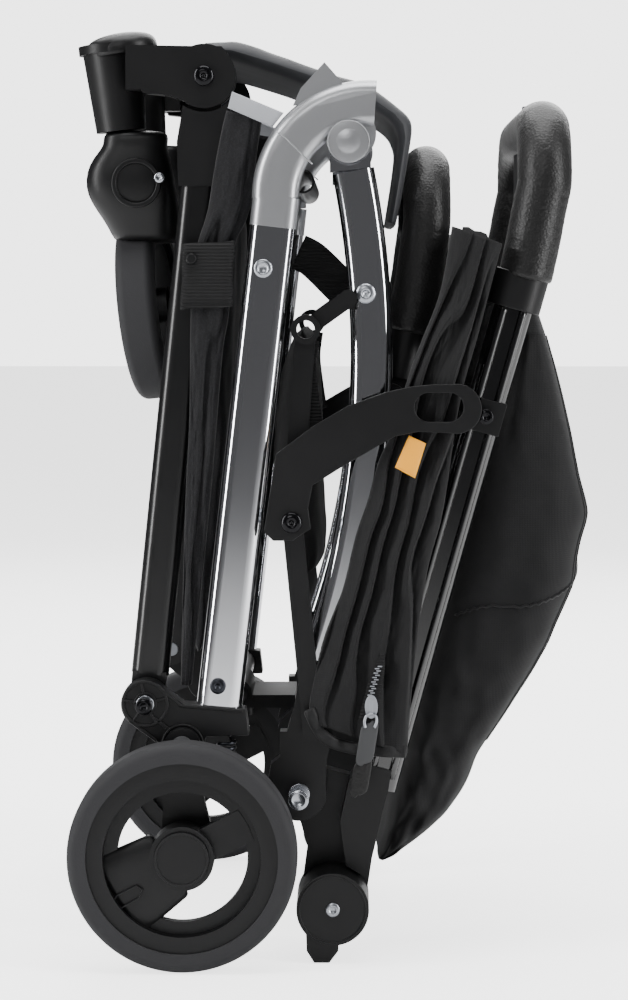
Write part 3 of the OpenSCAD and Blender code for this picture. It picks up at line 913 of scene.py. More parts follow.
@dataclass
class GripBar:
    """A leather-wrapped hoop: two legs, two bends and the bar across."""

    name: str
    node: str
    body: str
    leg: list[Side]
    half_width: float
    bend: float
    radius: float
    wrinkle: float = 0.35

    def centre_line(self) -> list[Vector]:
        """The hoop's centre line, from the left leg's foot to the right leg's."""
        leg = [place(x, z, -self.half_width) for x, z in spline(self.leg, 34)]
        top = leg[-1]
        left = list(leg)
        steps = 22
        for k in range(1, steps + 1):
            a = pi / 2 * k / steps
            left.append(top + Vector((0.0, self.bend * (1 - cos(a)), self.bend * sin(a))) * MM)
        right = [Vector((p.x, -p.y, p.z)) for p in reversed(left)]
        inner = [left[-1].lerp(right[0], k / 14) for k in range(1, 14)]
        return left + inner + right

    def build(self, palette: Palette) -> bpy.types.Object:
        """Builds the wrapped hoop.

        Args:
            palette: The finishes.

        Returns:
            The piece.
        """
        path = self.centre_line()
        ends = self.radius

        def radius(share: float, angle: float) -> float:
            """The wrap's radius: it tucks in at its ends and creases a little inside its bends."""
            near_end = min(share, 1 - share) * 60
            tuck = 0.93 + 0.07 * min(1.0, near_end * 1.5)
            crease = self.wrinkle * noise.noise(Vector((share * 160, 2.5 * cos(angle), 2.5 * sin(angle))))
            return (ends * tuck + crease) * MM

        bm = bmesh.new()
        sweep(bm, path, radius, around=32)
        piece = finish_piece(self.name, bm, palette["embossed_leatherette"], body=self.body, subdivide=1)
        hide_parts(self.node)
        return piece


@dataclass
class Canopy:
    """The folded canopy and side cloth: long pleats down each side, and a roll across the top."""

    front: list[Side] = field(
        default_factory=lambda: [
            (77, 484.5), (74, 466), (71, 448.7), (66.3, 432.2), (57.8, 411.1), (50.5, 392), (45.5, 376),
            (36, 345.9), (28.8, 329.4), (22.5, 304.4), (14.3, 280), (6.4, 247.1), (0, 230), (-6.4, 213.4),
            (-12.2, 191.1), (-16.5, 168), (-14, 158),
        ]
    )
    rear: list[Side] = field(
        default_factory=lambda: [
            (110, 473), (102.5, 445), (94, 412), (85.5, 382), (79.5, 352), (75.5, 322), (70.5, 292),
            (62.4, 262), (56.5, 226), (52, 184), (49.5, 156), (48.6, 137),
        ]
    )
    roll: list[Side] = field(
        default_factory=lambda: [
            (84, 484), (104, 475), (101, 452), (93, 424), (85, 404), (77, 398), (73, 408), (77, 430),
            (83, 452),
        ]
    )

    def build(self, palette: Palette) -> None:
        """Builds the gathered cloth with its zip, label and pull.

        Args:
            palette: The finishes.
        """
        bm = bmesh.new()
        for hand in Hand:
            bundle(bm, self.front, self.rear, 165.0, 176.6, 190, 4.4, 9.5, hand, cols=130)
        self.cross_roll(bm)
        cloth = finish_piece("canopy_cloth", bm, palette["black_polyester_canvas"], body="handle_frame")
        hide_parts("canopy")
        for hand in Hand:
            self.hem(hand, palette)
            self.zip_teeth(hand, palette)
            self.zip_tape(hand, palette)
            self.zip_slider(hand, palette)
            self.label(hand, palette)
        self.pull(palette)

    def cross_roll(self, bm: bmesh.types.BMesh) -> None:
        """Rolls the folded hood across the stroller, pinched and sagging a little in its middle.

        Args:
            bm: The mesh that the roll goes into.
        """
        around, along, half_width = 48, 60, 166
        outline = spline(self.roll + self.roll[:1], around + 1)[:-1]
        centre = (sum(p[0] for p in outline) / around, sum(p[1] for p in outline) / around)
        rows = []
        for k in range(along + 1):
            y = -half_width + 2 * half_width * k / along
            middle = sin(pi * k / along)
            squeeze = 1 - 0.1 * middle
            row = []
            for i, (x, z) in enumerate(outline):
                ripple = 1 + 0.05 * noise.noise(Vector((i * 0.4, k * 0.12, 1.5))) + 0.035 * sin(i * 2.1)
                out_x = centre[0] + (x - centre[0]) * squeeze * ripple
                out_z = centre[1] + (z - centre[1]) * squeeze * ripple - 3.0 * middle
                row.append(place(out_x, out_z, y))
            rows.append(row)
        loft(bm, rows, closed=True, capped=True)

    def hem(self, hand: Hand, palette: Palette) -> None:
        """Sews the piped hem along the bottom of one side.

        Args:
            hand: The side.
            palette: The finishes.
        """
        line = spline([(-16.5, 167), (-10, 153), (-1, 145), (13, 141), (30, 139.5), (48, 138.5)], 50)
        bm = bmesh.new()
        path = [place(x, z, hand.value * (171.5 + 1.2 * sin(i * 0.5))) for i, (x, z) in enumerate(line)]
        sweep(bm, path, lambda share, angle: (3.4 + 0.9 * cos(2 * angle)) * MM, around=16)
        finish_piece(f"canopy_hem_{hand.word}", bm, palette["black_piping"], body="handle_frame", subdivide=1)

    def zip_teeth(self, hand: Hand, palette: Palette) -> None:
        """Lays the zip's staggered metal teeth.

        Args:
            hand: The side.
            palette: The finishes.
        """
        bm = bmesh.new()
        teeth = 14
        for k in range(teeth):
            share = k / (teeth - 1)
            x, z = 24.2 + 5.2 * share, 177 + 19 * share
            stagger = 0.7 if k % 2 else -0.7
            tooth = bmesh.ops.create_cube(bm, size=1.0)["verts"]
            bmesh.ops.scale(bm, vec=Vector((3.0, 1.2, 0.75)) * MM, verts=tooth)
            bmesh.ops.translate(bm, vec=place(x + stagger, z, hand.value * 177.1), verts=tooth)
        zinc = palette["zinc_plated_steel"]
        name = f"zip_teeth_{hand.word}"
        finish_piece(name, bm, zinc, smooth=False, body="handle_frame", bevel=0.2)

    def zip_tape(self, hand: Hand, palette: Palette) -> None:
        """Lays the zip's tape, which narrows to a point at its top.

        Args:
            hand: The side.
            palette: The finishes.
        """
        bm = bmesh.new()
        rows = []
        count = 30
        for k in range(count):
            share = k / (count - 1)
            x, z = 21.5 + 10.5 * share, 160 + 44 * share
            width = 5.5 * (1 - 0.75 * share**3)
            rows.append(
                [place(x + width * s, z, hand.value * (176.5 - 0.7 * abs(s))) for s in (-1, -0.5, 0.5, 1)]
            )
        loft(bm, rows)
        finish_piece(
            f"zip_tape_{hand.word}", bm, palette["black_webbing"], body="handle_frame", thickness=0.7
        )

    def zip_slider(self, hand: Hand, palette: Palette) -> None:
        """Sets the slider and its bridge at the bottom of the teeth.

        Args:
            hand: The side.
            palette: The finishes.
        """
        bm = bmesh.new()
        body = bmesh.ops.create_cone(
            bm, cap_ends=True, segments=24, radius1=4.6 * MM, radius2=3.8 * MM, depth=2.4 * MM
        )["verts"]
        bmesh.ops.rotate(bm, cent=(0, 0, 0), matrix=Matrix.Rotation(hand.value * pi / 2, 3, "X"), verts=body)
        bmesh.ops.scale(bm, vec=(0.95, 1.0, 1.75), verts=body)
        bmesh.ops.translate(bm, vec=place(24.5, 169.5, hand.value * 177.6), verts=body)
        bridge = bmesh.ops.create_cube(bm, size=1.0)["verts"]
        bmesh.ops.scale(bm, vec=Vector((2.2, 1.6, 9.0)) * MM, verts=bridge)
        bmesh.ops.translate(bm, vec=place(24.5, 170, hand.value * 179.2), verts=bridge)
        finish_piece(
            f"zip_slider_{hand.word}", bm, palette["zinc_plated_steel"], body="handle_frame", bevel=0.35
        )

    def label(self, hand: Hand, palette: Palette) -> None:
        """Sews the small plain yellow label that hangs from the front edge.

        Args:
            hand: The side.
            palette: The finishes.
        """
        bm = bmesh.new()
        rows = []
        along, across = 12, 8
        for k in range(along):
            share = k / (along - 1)
            front = (39.8 + 9.1 * share, 327.1 + 20.9 * share)
            rear = (52.9 + 7.1 * share, 319.9 + 22.9 * share)
            row = []
            for s in (j / (across - 1) for j in range(across)):
                x, z = between(front, rear, s)
                row.append(place(x, z, hand.value * (177.4 + 0.8 * sin(pi * s) + 0.3 * sin(7 * share))))
            rows.append(row)
        loft(bm, rows)
        finish_piece(
            f"side_label_{hand.word}", bm, palette["yellow_satin_tape"], body="handle_frame", thickness=0.6
        )

    def tongue(
        self, name: str, top: Side, low: Side, half: float, y: float, material: bpy.types.Material
    ) -> bpy.types.Object:
        """Builds one flat round-ended tab of the zip pull.

        Args:
            name: The piece's name.
            top: The middle of its top.
            low: The middle of its end.
            half: Half its width.
            y: Its middle plane, along Y in millimetres.
            material: Its finish.

        Returns:
            The piece.
        """
        bm = bmesh.new()
        rows = []
        count = 30
        across = (-1, -0.85, -0.4, 0.4, 0.85, 1)
        for k in range(count):
            v = k / (count - 1)
            x, z = between(top, low, v)
            width = half * sqrt(max(0.03, 1 - (2 * v - 1) ** 10))
            rows.append([place(x + width * t, z + 1.2 * t, y + 0.5 * abs(t) ** 3) for t in across])
        loft(bm, rows)
        return finish_piece(name, bm, material, body="zip_tab", thickness=1.7, bevel=0.4, subdivide=1)

    def pull(self, palette: Palette) -> None:
        """Hangs the rubber zip pull from the left slider by its wire loop.

        Args:
            palette: The finishes.
        """
        tab = self.tongue(
            "zip_pull_tab", (24.0, 159.5), (19.5, 131.5), 6.0, -180.2, palette["grey_moulded_rubber"]
        )
        self.tongue(
            "zip_pull_leather", (19.5, 134.0), (15.5, 110.5), 6.2, -178.9, palette["embossed_leatherette"]
        )
        bm = bmesh.new()
        loop = spline(
            [(20.5, 156), (20.0, 160), (21.2, 163.5), (24.3, 165), (27.4, 163.5), (28, 160), (26.5, 156)], 40
        )
        sweep(bm, [place(x, z, -181.0) for x, z in loop], lambda share, angle: 1.0 * MM, around=12)
        finish_piece("zip_pull_wire", bm, palette["zinc_plated_steel"], body="zip_tab")
        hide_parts("zip_pull")


@dataclass
class BackrestBag:
    """The folded backrest with its rear pocket: a sagging padded shell behind the handle tubes."""

    front: list[Side] = field(
        default_factory=lambda: [
            (127, 428), (118, 400), (106, 358), (94, 315), (83, 275), (72, 235), (61, 195), (51, 155),
            (44, 120), (38, 92), (33, 68), (29, 58),
        ]
    )
    rear: list[Side] = field(
        default_factory=lambda: [
            (138, 428), (145, 407), (152.6, 381.5), (160.5, 350), (167.5, 318), (173.5, 296), (173.6, 286),
            (169.8, 272.5), (167.1, 258.3), (165.5, 245), (160.5, 232), (153.3, 216), (146.5, 200),
            (136, 182), (122.8, 161.4), (111.9, 144.5), (101.1, 129), (95.2, 115), (88.3, 101), (77.5, 85),
            (61.1, 71), (45, 60.5), (34, 56.4),
        ]
    )
    half_width: float = 131.0

    def skin(self, v: float, front: Side, rear: Side, t: float, lift: float = 0.0) -> Vector:
        """A point on the bag's cloth.

        Args:
            v: How far down the bag, 0 to 1.
            front: Its front line's point at that height.
            rear: Its rear line's point.
            t: The angle round the bag, 0 at the rear.
            lift: How far above the cloth, in millimetres.

        Returns:
            The point.
        """
        low = max(0.0, v - 0.5) / 0.5
        half = self.half_width * (1 - 0.08 * low**2) * min(1.0, 0.9 + 2.5 * v)
        u = 0.5 + 0.5 * squared(cos(t), 0.62)
        s = squared(sin(t), 0.36)
        folds = noise.noise(Vector((s * 2.4, u * 2.2, v * 7.0)))
        bunch = noise.noise(Vector((s * 4.0 + 3, u * 6.0 - v * 9.0, v * 26.0)))
        swell = 3.4 * folds + (0.9 + 5.5 * low) * bunch + lift
        x, z = between(front, rear, u)
        return place(x + swell * 0.25 * (1 - abs(s)), z, (half + swell * min(1.0, 1.4 * abs(s))) * s)

    def build(self, palette: Palette) -> None:
        """Builds the shell, its double seam and its pocket edge.

        Args:
            palette: The finishes.
        """
        count, around = 150, 128
        a, b = spline(self.front, count), spline(self.rear, count)
        angles = [2 * pi * k / around for k in range(around)]
        bm = bmesh.new()
        rows = [[self.skin(r / (count - 1), a[r], b[r], angle) for angle in angles] for r in range(count)]
        loft(bm, rows, closed=True, capped=True)
        bag = finish_piece("backrest_bag", bm, palette["black_polyester_canvas"], body="handle_frame")
        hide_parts("backrest")
        for hand in Hand:
            bm = bmesh.new()
            for seam in (0.50, 0.62):
                line = [
                    self.skin(r / (count - 1), a[r], b[r], hand.value * seam, 0.35) for r in range(6, 112, 2)
                ]
                sweep(bm, line, lambda share, angle: 0.7 * MM, around=8)
            edge = []
            pocket = 62
            for j in range(40):
                row = pocket + j // 2
                angle = hand.value * (0.05 + 0.055 * j)
                edge.append(self.skin((pocket + 0.5 * j) / (count - 1), a[row], b[row], angle, 0.5))
            sweep(bm, edge, lambda share, angle: 0.9 * MM, around=8)
            finish_piece(f"backrest_seams_{hand.word}", bm, palette["black_piping"], body="handle_frame")


@dataclass
class SeatBand:
    """The rubberised cloth band that arches over the folded seat, from the calf rest to the seat's edge."""

    outer: list[Side] = field(
        default_factory=lambda: [
            (-86.1, 607.3), (-74, 608), (-62.8, 607.8), (-39.5, 599.6), (-12.9, 590.3), (1, 585.3),
            (14.3, 581.7), (26.3, 576.4), (41.6, 565.1), (49.2, 558.1), (51.6, 551.1), (50.2, 537.8),
            (44.9, 505.2), (40.9, 486.6),
        ]
    )
    inner: list[Side] = field(
        default_factory=lambda: [
            (-84, 594), (-76, 594.5), (-66.8, 593), (-41.5, 585.4), (-20, 578), (-2, 573), (13, 567),
            (28.6, 559.8), (37, 553), (40.2, 547.1), (42, 539.8), (40.6, 525), (37.6, 505), (34.9, 487.9),
        ]
    )

    def build(self, palette: Palette) -> None:
        """Builds the band.

        Args:
            palette: The finishes.
        """
        count = 90
        o, i = spline(self.outer, count), spline(self.inner, count)
        bm = bmesh.new()
        rings = []
        for k in range(41):
            s = -1 + 2 * k / 40
            y = 140 * squared(s, 0.8)
            edge = sqrt(max(0.0, 1 - abs(s) ** 14)) * 0.92 + 0.08
            ring = []
            for (ox, oz), (ix, iz) in zip(o, i):
                mx, mz = (ox + ix) / 2, (oz + iz) / 2
                dip = 1.2 * noise.noise(Vector((ox * 0.03, y * 0.02, 0.5)))
                ring.append(place(mx + (ox - mx) * edge, mz + (oz - mz) * edge - abs(dip), y))
            for (ox, oz), (ix, iz) in reversed(list(zip(o, i))):
                mx, mz = (ox + ix) / 2, (oz + iz) / 2
                ring.append(place(mx + (ix - mx) * edge, mz + (iz - mz) * edge, y))
            rings.append(ring)
        loft(bm, rings, closed=True, capped=True)
        band = finish_piece("seat_band", bm, palette["rubberised_grey_band"])
        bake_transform(band)
        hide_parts("seat_edge", "calf_rest")


@dataclass
class SeatHammock:
    """The folded seat cloth between the legs, its stiffener webbing and its elastic."""

    def build(self, palette: Palette) -> None:
        """Builds the folded cloth and the straps.

        Args:
            palette: The finishes.
        """
        front = [(-30, 414), (-38, 380), (-42, 345), (-42, 300), (-34, 262), (-30, 250)]
        rear = [(-14, 416), (-11, 390), (-9, 350), (-8, 300), (-6, 262), (-9, 250)]
        self.fold("seat_cloth", front, rear, 104, "seat_frame", palette, "seat_fabric")
        webbing = [(-24, 468), (-16, 464), (-8, 457), (0, 449), (8, 441)]
        elastic = [(-13, 352), (-16, 372), (-18, 392), (-16, 410)]
        for hand in Hand:
            self.strap(f"seat_webbing_{hand.word}", webbing, hand, 133, 24, palette)
            self.strap(f"seat_elastic_{hand.word}", elastic, hand, 156.8, 12, palette)

    def fold(
        self,
        name: str,
        front: list[Side],
        rear: list[Side],
        half: float,
        body: str,
        palette: Palette,
        node: str,
    ) -> None:
        """Builds one folded stack of cloth across the stroller.

        Args:
            name: The piece's name.
            front: Its front line, top to bottom.
            rear: Its rear line.
            half: Half its width.
            body: The body it rides on.
            palette: The finishes.
            node: The frame's node that it replaces.
        """
        along, around = 50, 72
        a, b = spline(front, along), spline(rear, along)
        bm = bmesh.new()
        rows = []
        for r in range(along):
            v = r / (along - 1)
            taper = sqrt(max(0.0, 1 - abs(2 * v - 1) ** 10)) * 0.8 + 0.2
            row = []
            for k in range(around):
                t = 2 * pi * k / around
                u = 0.5 + 0.5 * taper * squared(cos(t), 0.8)
                s = squared(sin(t), 0.5)
                wrinkle = 2.0 * noise.noise(Vector((s * 5, u * 4, v * 9)))
                x, z = between(a[r], b[r], u)
                row.append(place(x + wrinkle * 0.5, z, half * s + wrinkle * (1 if s > 0 else -1)))
            rows.append(row)
        loft(bm, rows, closed=True, capped=True)
        piece = finish_piece(name, bm, palette["black_polyester_canvas"], body=body)
        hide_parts(node)

    def strap(
        self, name: str, line: list[Side], hand: Hand, y: float, width: float, palette: Palette
    ) -> None:
        """Builds a flat strap on the seat frame, whose face looks sideways.

        Args:
            name: The piece's name.
            line: Its middle line.
            hand: The side.
            y: Its distance from the centre line.
            width: Its width.
            palette: The finishes.
        """
        count = 30
        pts = spline(line, count)
        bm = bmesh.new()
        rows = []
        for k, (x, z) in enumerate(pts):
            before, after = pts[max(k - 1, 0)], pts[min(k + 1, count - 1)]
            nx, nz = after[0] - before[0], after[1] - before[1]
            size = sqrt(nx * nx + nz * nz)
            ox, oz = nz / size * width / 2, -nx / size * width / 2
            lift = 0.8 * sin(k * 0.35)
            rows.append(
                [place(x + ox * s, z + oz * s, hand.value * (y + lift)) for s in (-1, -0.9, 0, 0.9, 1)]
            )
        loft(bm, rows)
        finish_piece(name, bm, palette["black_webbing"], body="seat_frame", thickness=1.6, bevel=0.3)


@dataclass
class Basket:
    """The folded shopping basket: cloth sleeves beside the legs, the folded floor and its silver rim."""

    front: list[Side] = field(
        default_factory=lambda: [
            (-71, 560), (-75.5, 540), (-79.5, 518), (-83.5, 494), (-90.5, 471), (-94, 445), (-94.8, 420),
            (-95.1, 403), (-95.7, 357), (-98.4, 304), (-100.4, 240), (-101.7, 182),
        ]
    )
    rear: list[Side] = field(
        default_factory=lambda: [
            (-47, 556), (-51, 530), (-53.5, 505), (-57.9, 488), (-64.7, 474), (-67.8, 450), (-69.6, 425),
            (-73.3, 403), (-77.3, 357), (-81.9, 304), (-88.5, 240), (-94.4, 182),
        ]
    )

    def build(self, palette: Palette) -> None:
        """Builds both sleeves, the folded floor, the rim, the strap loops and their snaps.

        Args:
            palette: The finishes.
        """
        bm = bmesh.new()
        for hand in Hand:
            bundle(bm, self.front, self.rear, 159.2, 166.6, 120, 1.6, 4.6, hand, cols=48)
        self.folded_floor(bm)
        cloth = finish_piece("basket_cloth", bm, palette["charcoal_melange_cloth"], body="front_legs")
        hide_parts("basket")
        self.rim(palette)
        self.strap_loops(palette)
        self.snaps(palette)

    def folded_floor(self, bm: bmesh.types.BMesh) -> None:
        """Hangs the folded floor between the sleeves.

        Args:
            bm: The mesh that it goes into.
        """
        along, around, half_width = 70, 80, 95
        a = spline(
            [(-83, 500), (-84, 470), (-84, 440), (-88, 370), (-93, 300), (-100, 240), (-101, 196)], along
        )
        b = spline(
            [(-62, 500), (-64, 470), (-66, 440), (-70, 370), (-74, 300), (-80, 240), (-85, 196)], along
        )
        rows = []
        for r in range(along):
            v = r / (along - 1)
            taper = sqrt(max(0.0, 1 - abs(2 * v - 1) ** 12)) * 0.8 + 0.2
            row = []
            for k in range(around):
                t = 2 * pi * k / around
                u = 0.5 + 0.5 * taper * squared(cos(t), 0.8)
                s = squared(sin(t), 0.5)
                wrinkle = 2.4 * noise.noise(Vector((s * 6, u * 3, v * 8)))
                x, z = between(a[r], b[r], u)
                row.append(place(x + wrinkle * 0.6, z, half_width * s + wrinkle * s))
            rows.append(row)
        loft(bm, rows, closed=True, capped=True)

    def rim(self, palette: Palette) -> None:
        """Binds the top of both sleeves with silver tape.

        Args:
            palette: The finishes.
        """
        bm = bmesh.new()
        count = 24
        across = (0, 0.1, 0.3, 0.5, 0.7, 0.9, 1)
        for hand in Hand:
            rows = []
            for s in (k / (count - 1) for k in range(count)):
                top = (-66.7 + 33.6 * s, 571.9 - 13.8 * s)
                low = (-69.4 + 29.0 * s, 561.4 - 12.5 * s)
                bow = 1.8 * sin(pi * s)
                rows.append(
                    [
                        place(*between(top, low, w), hand.value * (167.4 + bow * 0.4 + 0.5 * sin(pi * w)))
                        for w in across
                    ]
                )
            loft(bm, rows)
        finish_piece("basket_rim", bm, palette["silver_binding"], body="front_legs", thickness=1.8, bevel=0.4)

    def strap_loops(self, palette: Palette) -> None:
        """Wraps a webbing loop round each front leg and its sleeve.

        Args:
            palette: The finishes.
        """
        bm = bmesh.new()
        along, around = 9, 40
        turns = [2 * pi * k / around for k in range(around)]
        for hand in Hand:
            rings = []
            for s in (w / (along - 1) for w in range(along)):
                bulge = 1 + 0.02 * sin(9 * s)
                ring = []
                for t in turns:
                    x = -82.5 - 1.4 * s + 16.4 * bulge * squared(cos(t), 0.35)
                    z = 474 - 43 * s + 1.2 * cos(t)
                    ring.append(place(x, z, hand.value * (164.6 + 4.6 * squared(sin(t), 0.4))))
                rings.append(ring)
            loft(bm, rings, closed=True)
        loops = finish_piece(
            "basket_strap_loops", bm, palette["black_webbing"], body="front_legs", thickness=1.2
        )
        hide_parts("basket_straps")

    def snaps(self, palette: Palette) -> None:
        """Presses a snap into each loop.

        Args:
            palette: The finishes.
        """
        bm = bmesh.new()
        for hand in Hand:
            stud = bmesh.ops.create_cone(
                bm, cap_ends=True, segments=28, radius1=4.2 * MM, radius2=3.0 * MM, depth=2.2 * MM
            )["verts"]
            set_down(bm, stud, place(-93.5, 463.3, hand.value * 170.6), -hand.value * pi / 2)
        finish_piece("basket_snaps", bm, palette["moulded_black_nylon"], body="front_legs", bevel=0.5)


@dataclass
class Fastener:
    """A domed rivet or screw head with a socket, facing sideways."""

    at: Side
    y: float
    radius: float
    body: str
    head: str = "blackened_steel_rivet"
    dome: float = 0.32
    socket: float = 0.45

    def build(self, name: str, palette: Palette) -> None:
        """Builds the head on both sides, where its body has no side of its own.

        Args:
            name: The piece's name.
            palette: The finishes.
        """
        for hand in Hand:
            bm = bmesh.new()
            r = self.radius
            floor = [(0.0, 0.35)]
            if self.socket:
                floor = [(0.0, 0.12), (self.socket * 0.92, 0.12), (self.socket, 0.2)]
            shares = (0.5, 0.62, 0.74, 0.84, 0.92, 0.97)
            rise = [(t, self.dome * sqrt(max(0.0, 1 - t * t * 0.92))) for t in shares if t > self.socket]
            profile = floor + rise + [(1.0, 0.08), (1.0, -0.25), (0.0, -0.25)]
            first = [bm.verts.new((t * r * MM, 0.0, h * r * MM)) for t, h in profile]
            line = [bm.edges.new(pair) for pair in zip(first, first[1:])]
            turn_about(bm, first + line, (0, 0, 1), 32)
            set_down(bm, bm.verts[:], place(*self.at, hand.value * self.y), -hand.value * pi / 2)
            finish_piece(f"{name}_{hand.word}", bm, palette[self.head], body=self.body.format(hand.word))


@dataclass
class BracketRibs:
    """The moulded ribs, bosses and caps on the rear brackets, and the small raised details beside them."""

    face: float = 176.0
    leg_boss: Side = (-124.3, 171.0)
    suspension_boss: Side = (-99.7, 144.0)
    axle: Side = (-98.5, 75.0)
    knob: Side = (-1.0, 35.6)

    def build(self, palette: Palette) -> None:
        """Builds the details on both sides.

        Args:
            palette: The finishes.
        """
        for hand in Hand:
            self.ribs(hand, palette)
            self.wheel_relief(hand, palette)
            self.wheel_spoke(hand, palette)
            self.elbow_line(hand, palette)
            self.tube_ridges(hand, palette)
            self.knob_rim(hand, palette)

    def ribs(self, hand: Hand, palette: Palette) -> None:
        """Builds the ribs and bosses of one rear bracket.

        Args:
            hand: The side.
            palette: The finishes.
        """
        bm = bmesh.new()
        low, high = self.face - 0.6, self.face + 1.8
        boss = self.leg_boss
        round_rib(bm, boss, 15.6, 13.6, low, high, hand)
        round_rib(bm, boss, 7.6, 6.0, low, high, hand)
        for angle in (15, 100, 170, 235, 300):
            a = radians(angle)
            foot = (boss[0] + 7.2 * cos(a), boss[1] + 7.2 * sin(a))
            tip = (boss[0] + 14 * cos(a), boss[1] + 14 * sin(a))
            straight_rib(bm, foot, tip, 1.5, low, high, hand)
        straight_rib(bm, (-135, 160), (-117, 146.5), 2.0, low, high, hand)
        straight_rib(bm, (-118.5, 162), (-108, 153.5), 2.0, low, high, hand)
        straight_rib(bm, (-112, 180), (-101, 169.5), 2.0, low, high, hand)
        straight_rib(bm, (-101, 169.5), (-60, 166.2), 2.0, low, high - 1.0, hand)
        round_rib(bm, self.suspension_boss, 14, 12.3, low, high + 0.6, hand)
        round_rib(bm, self.suspension_boss, 10.6, 9.0, low, high + 0.6, hand)
        nylon = palette["moulded_black_nylon"]
        finish_piece(f"rear_bracket_ribs_{hand.word}", bm, nylon, smooth=False, body="rear_frame", bevel=0.5)

    def wheel_relief(self, hand: Hand, palette: Palette) -> None:
        """Raises the ring round the hub cap and the outline on the broad spoke.

        Args:
            hand: The side.
            palette: The finishes.
        """
        bm = bmesh.new()
        round_rib(bm, self.axle, 17.8, 16.2, 218.4, 219.9, hand)
        pill = [
            (-143.5, 45.5), (-139.5, 41.5), (-126.5, 49.0), (-124.0, 54.5), (-128.0, 57.0), (-141.0, 50.5)
        ]
        for a, b in zip(pill, pill[1:] + pill[:1]):
            straight_rib(bm, a, b, 0.8, 212.6, 214.6, hand)
        nylon = palette["moulded_wheel_nylon"]
        finish_piece(f"rear_wheel_relief_{hand.word}", bm, nylon, body=f"rear_wheel_{hand.word}", bevel=0.25)

    def wheel_spoke(self, hand: Hand, palette: Palette) -> None:
        """Moulds the broad spoke of one rear wheel, from the hub to the rim.

        Args:
            hand: The side.
            palette: The finishes.
        """
        bm = bmesh.new()
        along, around, lean = 12, 36, radians(212)
        out = Vector((cos(lean), 0.0, sin(lean)))
        across = Vector((-out.z, 0.0, out.x))
        rings = []
        for v in (k / (along - 1) for k in range(along)):
            half = 23.5 + 6.5 * v
            middle = place(*self.axle, 0) + out * (8 + 43.5 * v) * MM
            ring = []
            for t in (2 * pi * j / around for j in range(around)):
                depth = 206.5 + 7.0 * squared(sin(t), 0.7) * (1 - 0.25 * v)
                side = across * half * squared(cos(t), 0.55) * MM
                ring.append(middle + side + Vector((0.0, hand.value * depth * MM, 0.0)))
            rings.append(ring)
        loft(bm, rings, closed=True, capped=True)
        nylon = palette["moulded_wheel_nylon"]
        finish_piece(f"rear_wheel_spoke_{hand.word}", bm, nylon, body=f"rear_wheel_{hand.word}", subdivide=1)

    def elbow_line(self, hand: Hand, palette: Palette) -> None:
        """Raises the fine panel line on the silver elbow.

        Args:
            hand: The side.
            palette: The finishes.
        """
        bm = bmesh.new()
        line = spline([(-37.6, 545.5), (-32.7, 542.4), (-26, 536), (-19.2, 529.4), (-14.2, 524.6)], 24)
        path = [place(x, z, hand.value * 174.35) for x, z in line]
        sweep(bm, path, lambda share, angle: 0.55 * MM, around=10)
        finish_piece(f"elbow_panel_line_{hand.word}", bm, palette["satin_silver_casting"], body="rear_frame")

    def tube_ridges(self, hand: Hand, palette: Palette) -> None:
        """Lays the two drawn ridges along the outer face of a handle tube.

        Args:
            hand: The side.
            palette: The finishes.
        """
        bm = bmesh.new()
        lean = (92.0 / 340.6, 328.0 / 340.6)
        length, count = 330, 31
        for offset in (-6.5, 6.5):
            foot = (31.0 + offset * lean[1], 120.0 - offset * lean[0])
            ridge = []
            for k in range(count):
                x = foot[0] + length * lean[0] * k / (count - 1)
                z = foot[1] + length * lean[1] * k / (count - 1)
                ridge.append(place(x, z, hand.value * 155.4))
            sweep(bm, ridge, lambda share, angle: 3.0 * MM, around=20)
        finish_piece(f"handle_tube_ridges_{hand.word}", bm, palette["gloss_black_tube"], body="handle_frame")

    def knob_rim(self, hand: Hand, palette: Palette) -> None:
        """Raises the rim of the round end boss, and one rib on the handle bracket above it.

        Args:
            hand: The side.
            palette: The finishes.
        """
        bm = bmesh.new()
        round_rib(bm, self.knob, 22.5, 21.4, 183.0, 184.6, hand)
        straight_rib(bm, (-13, 176), (-11.6, 184), 3.2, 157.0, 158.2, hand)
        finish_piece(
            f"knob_rim_{hand.word}", bm, palette["moulded_black_nylon"], body="handle_frame", bevel=0.4
        )


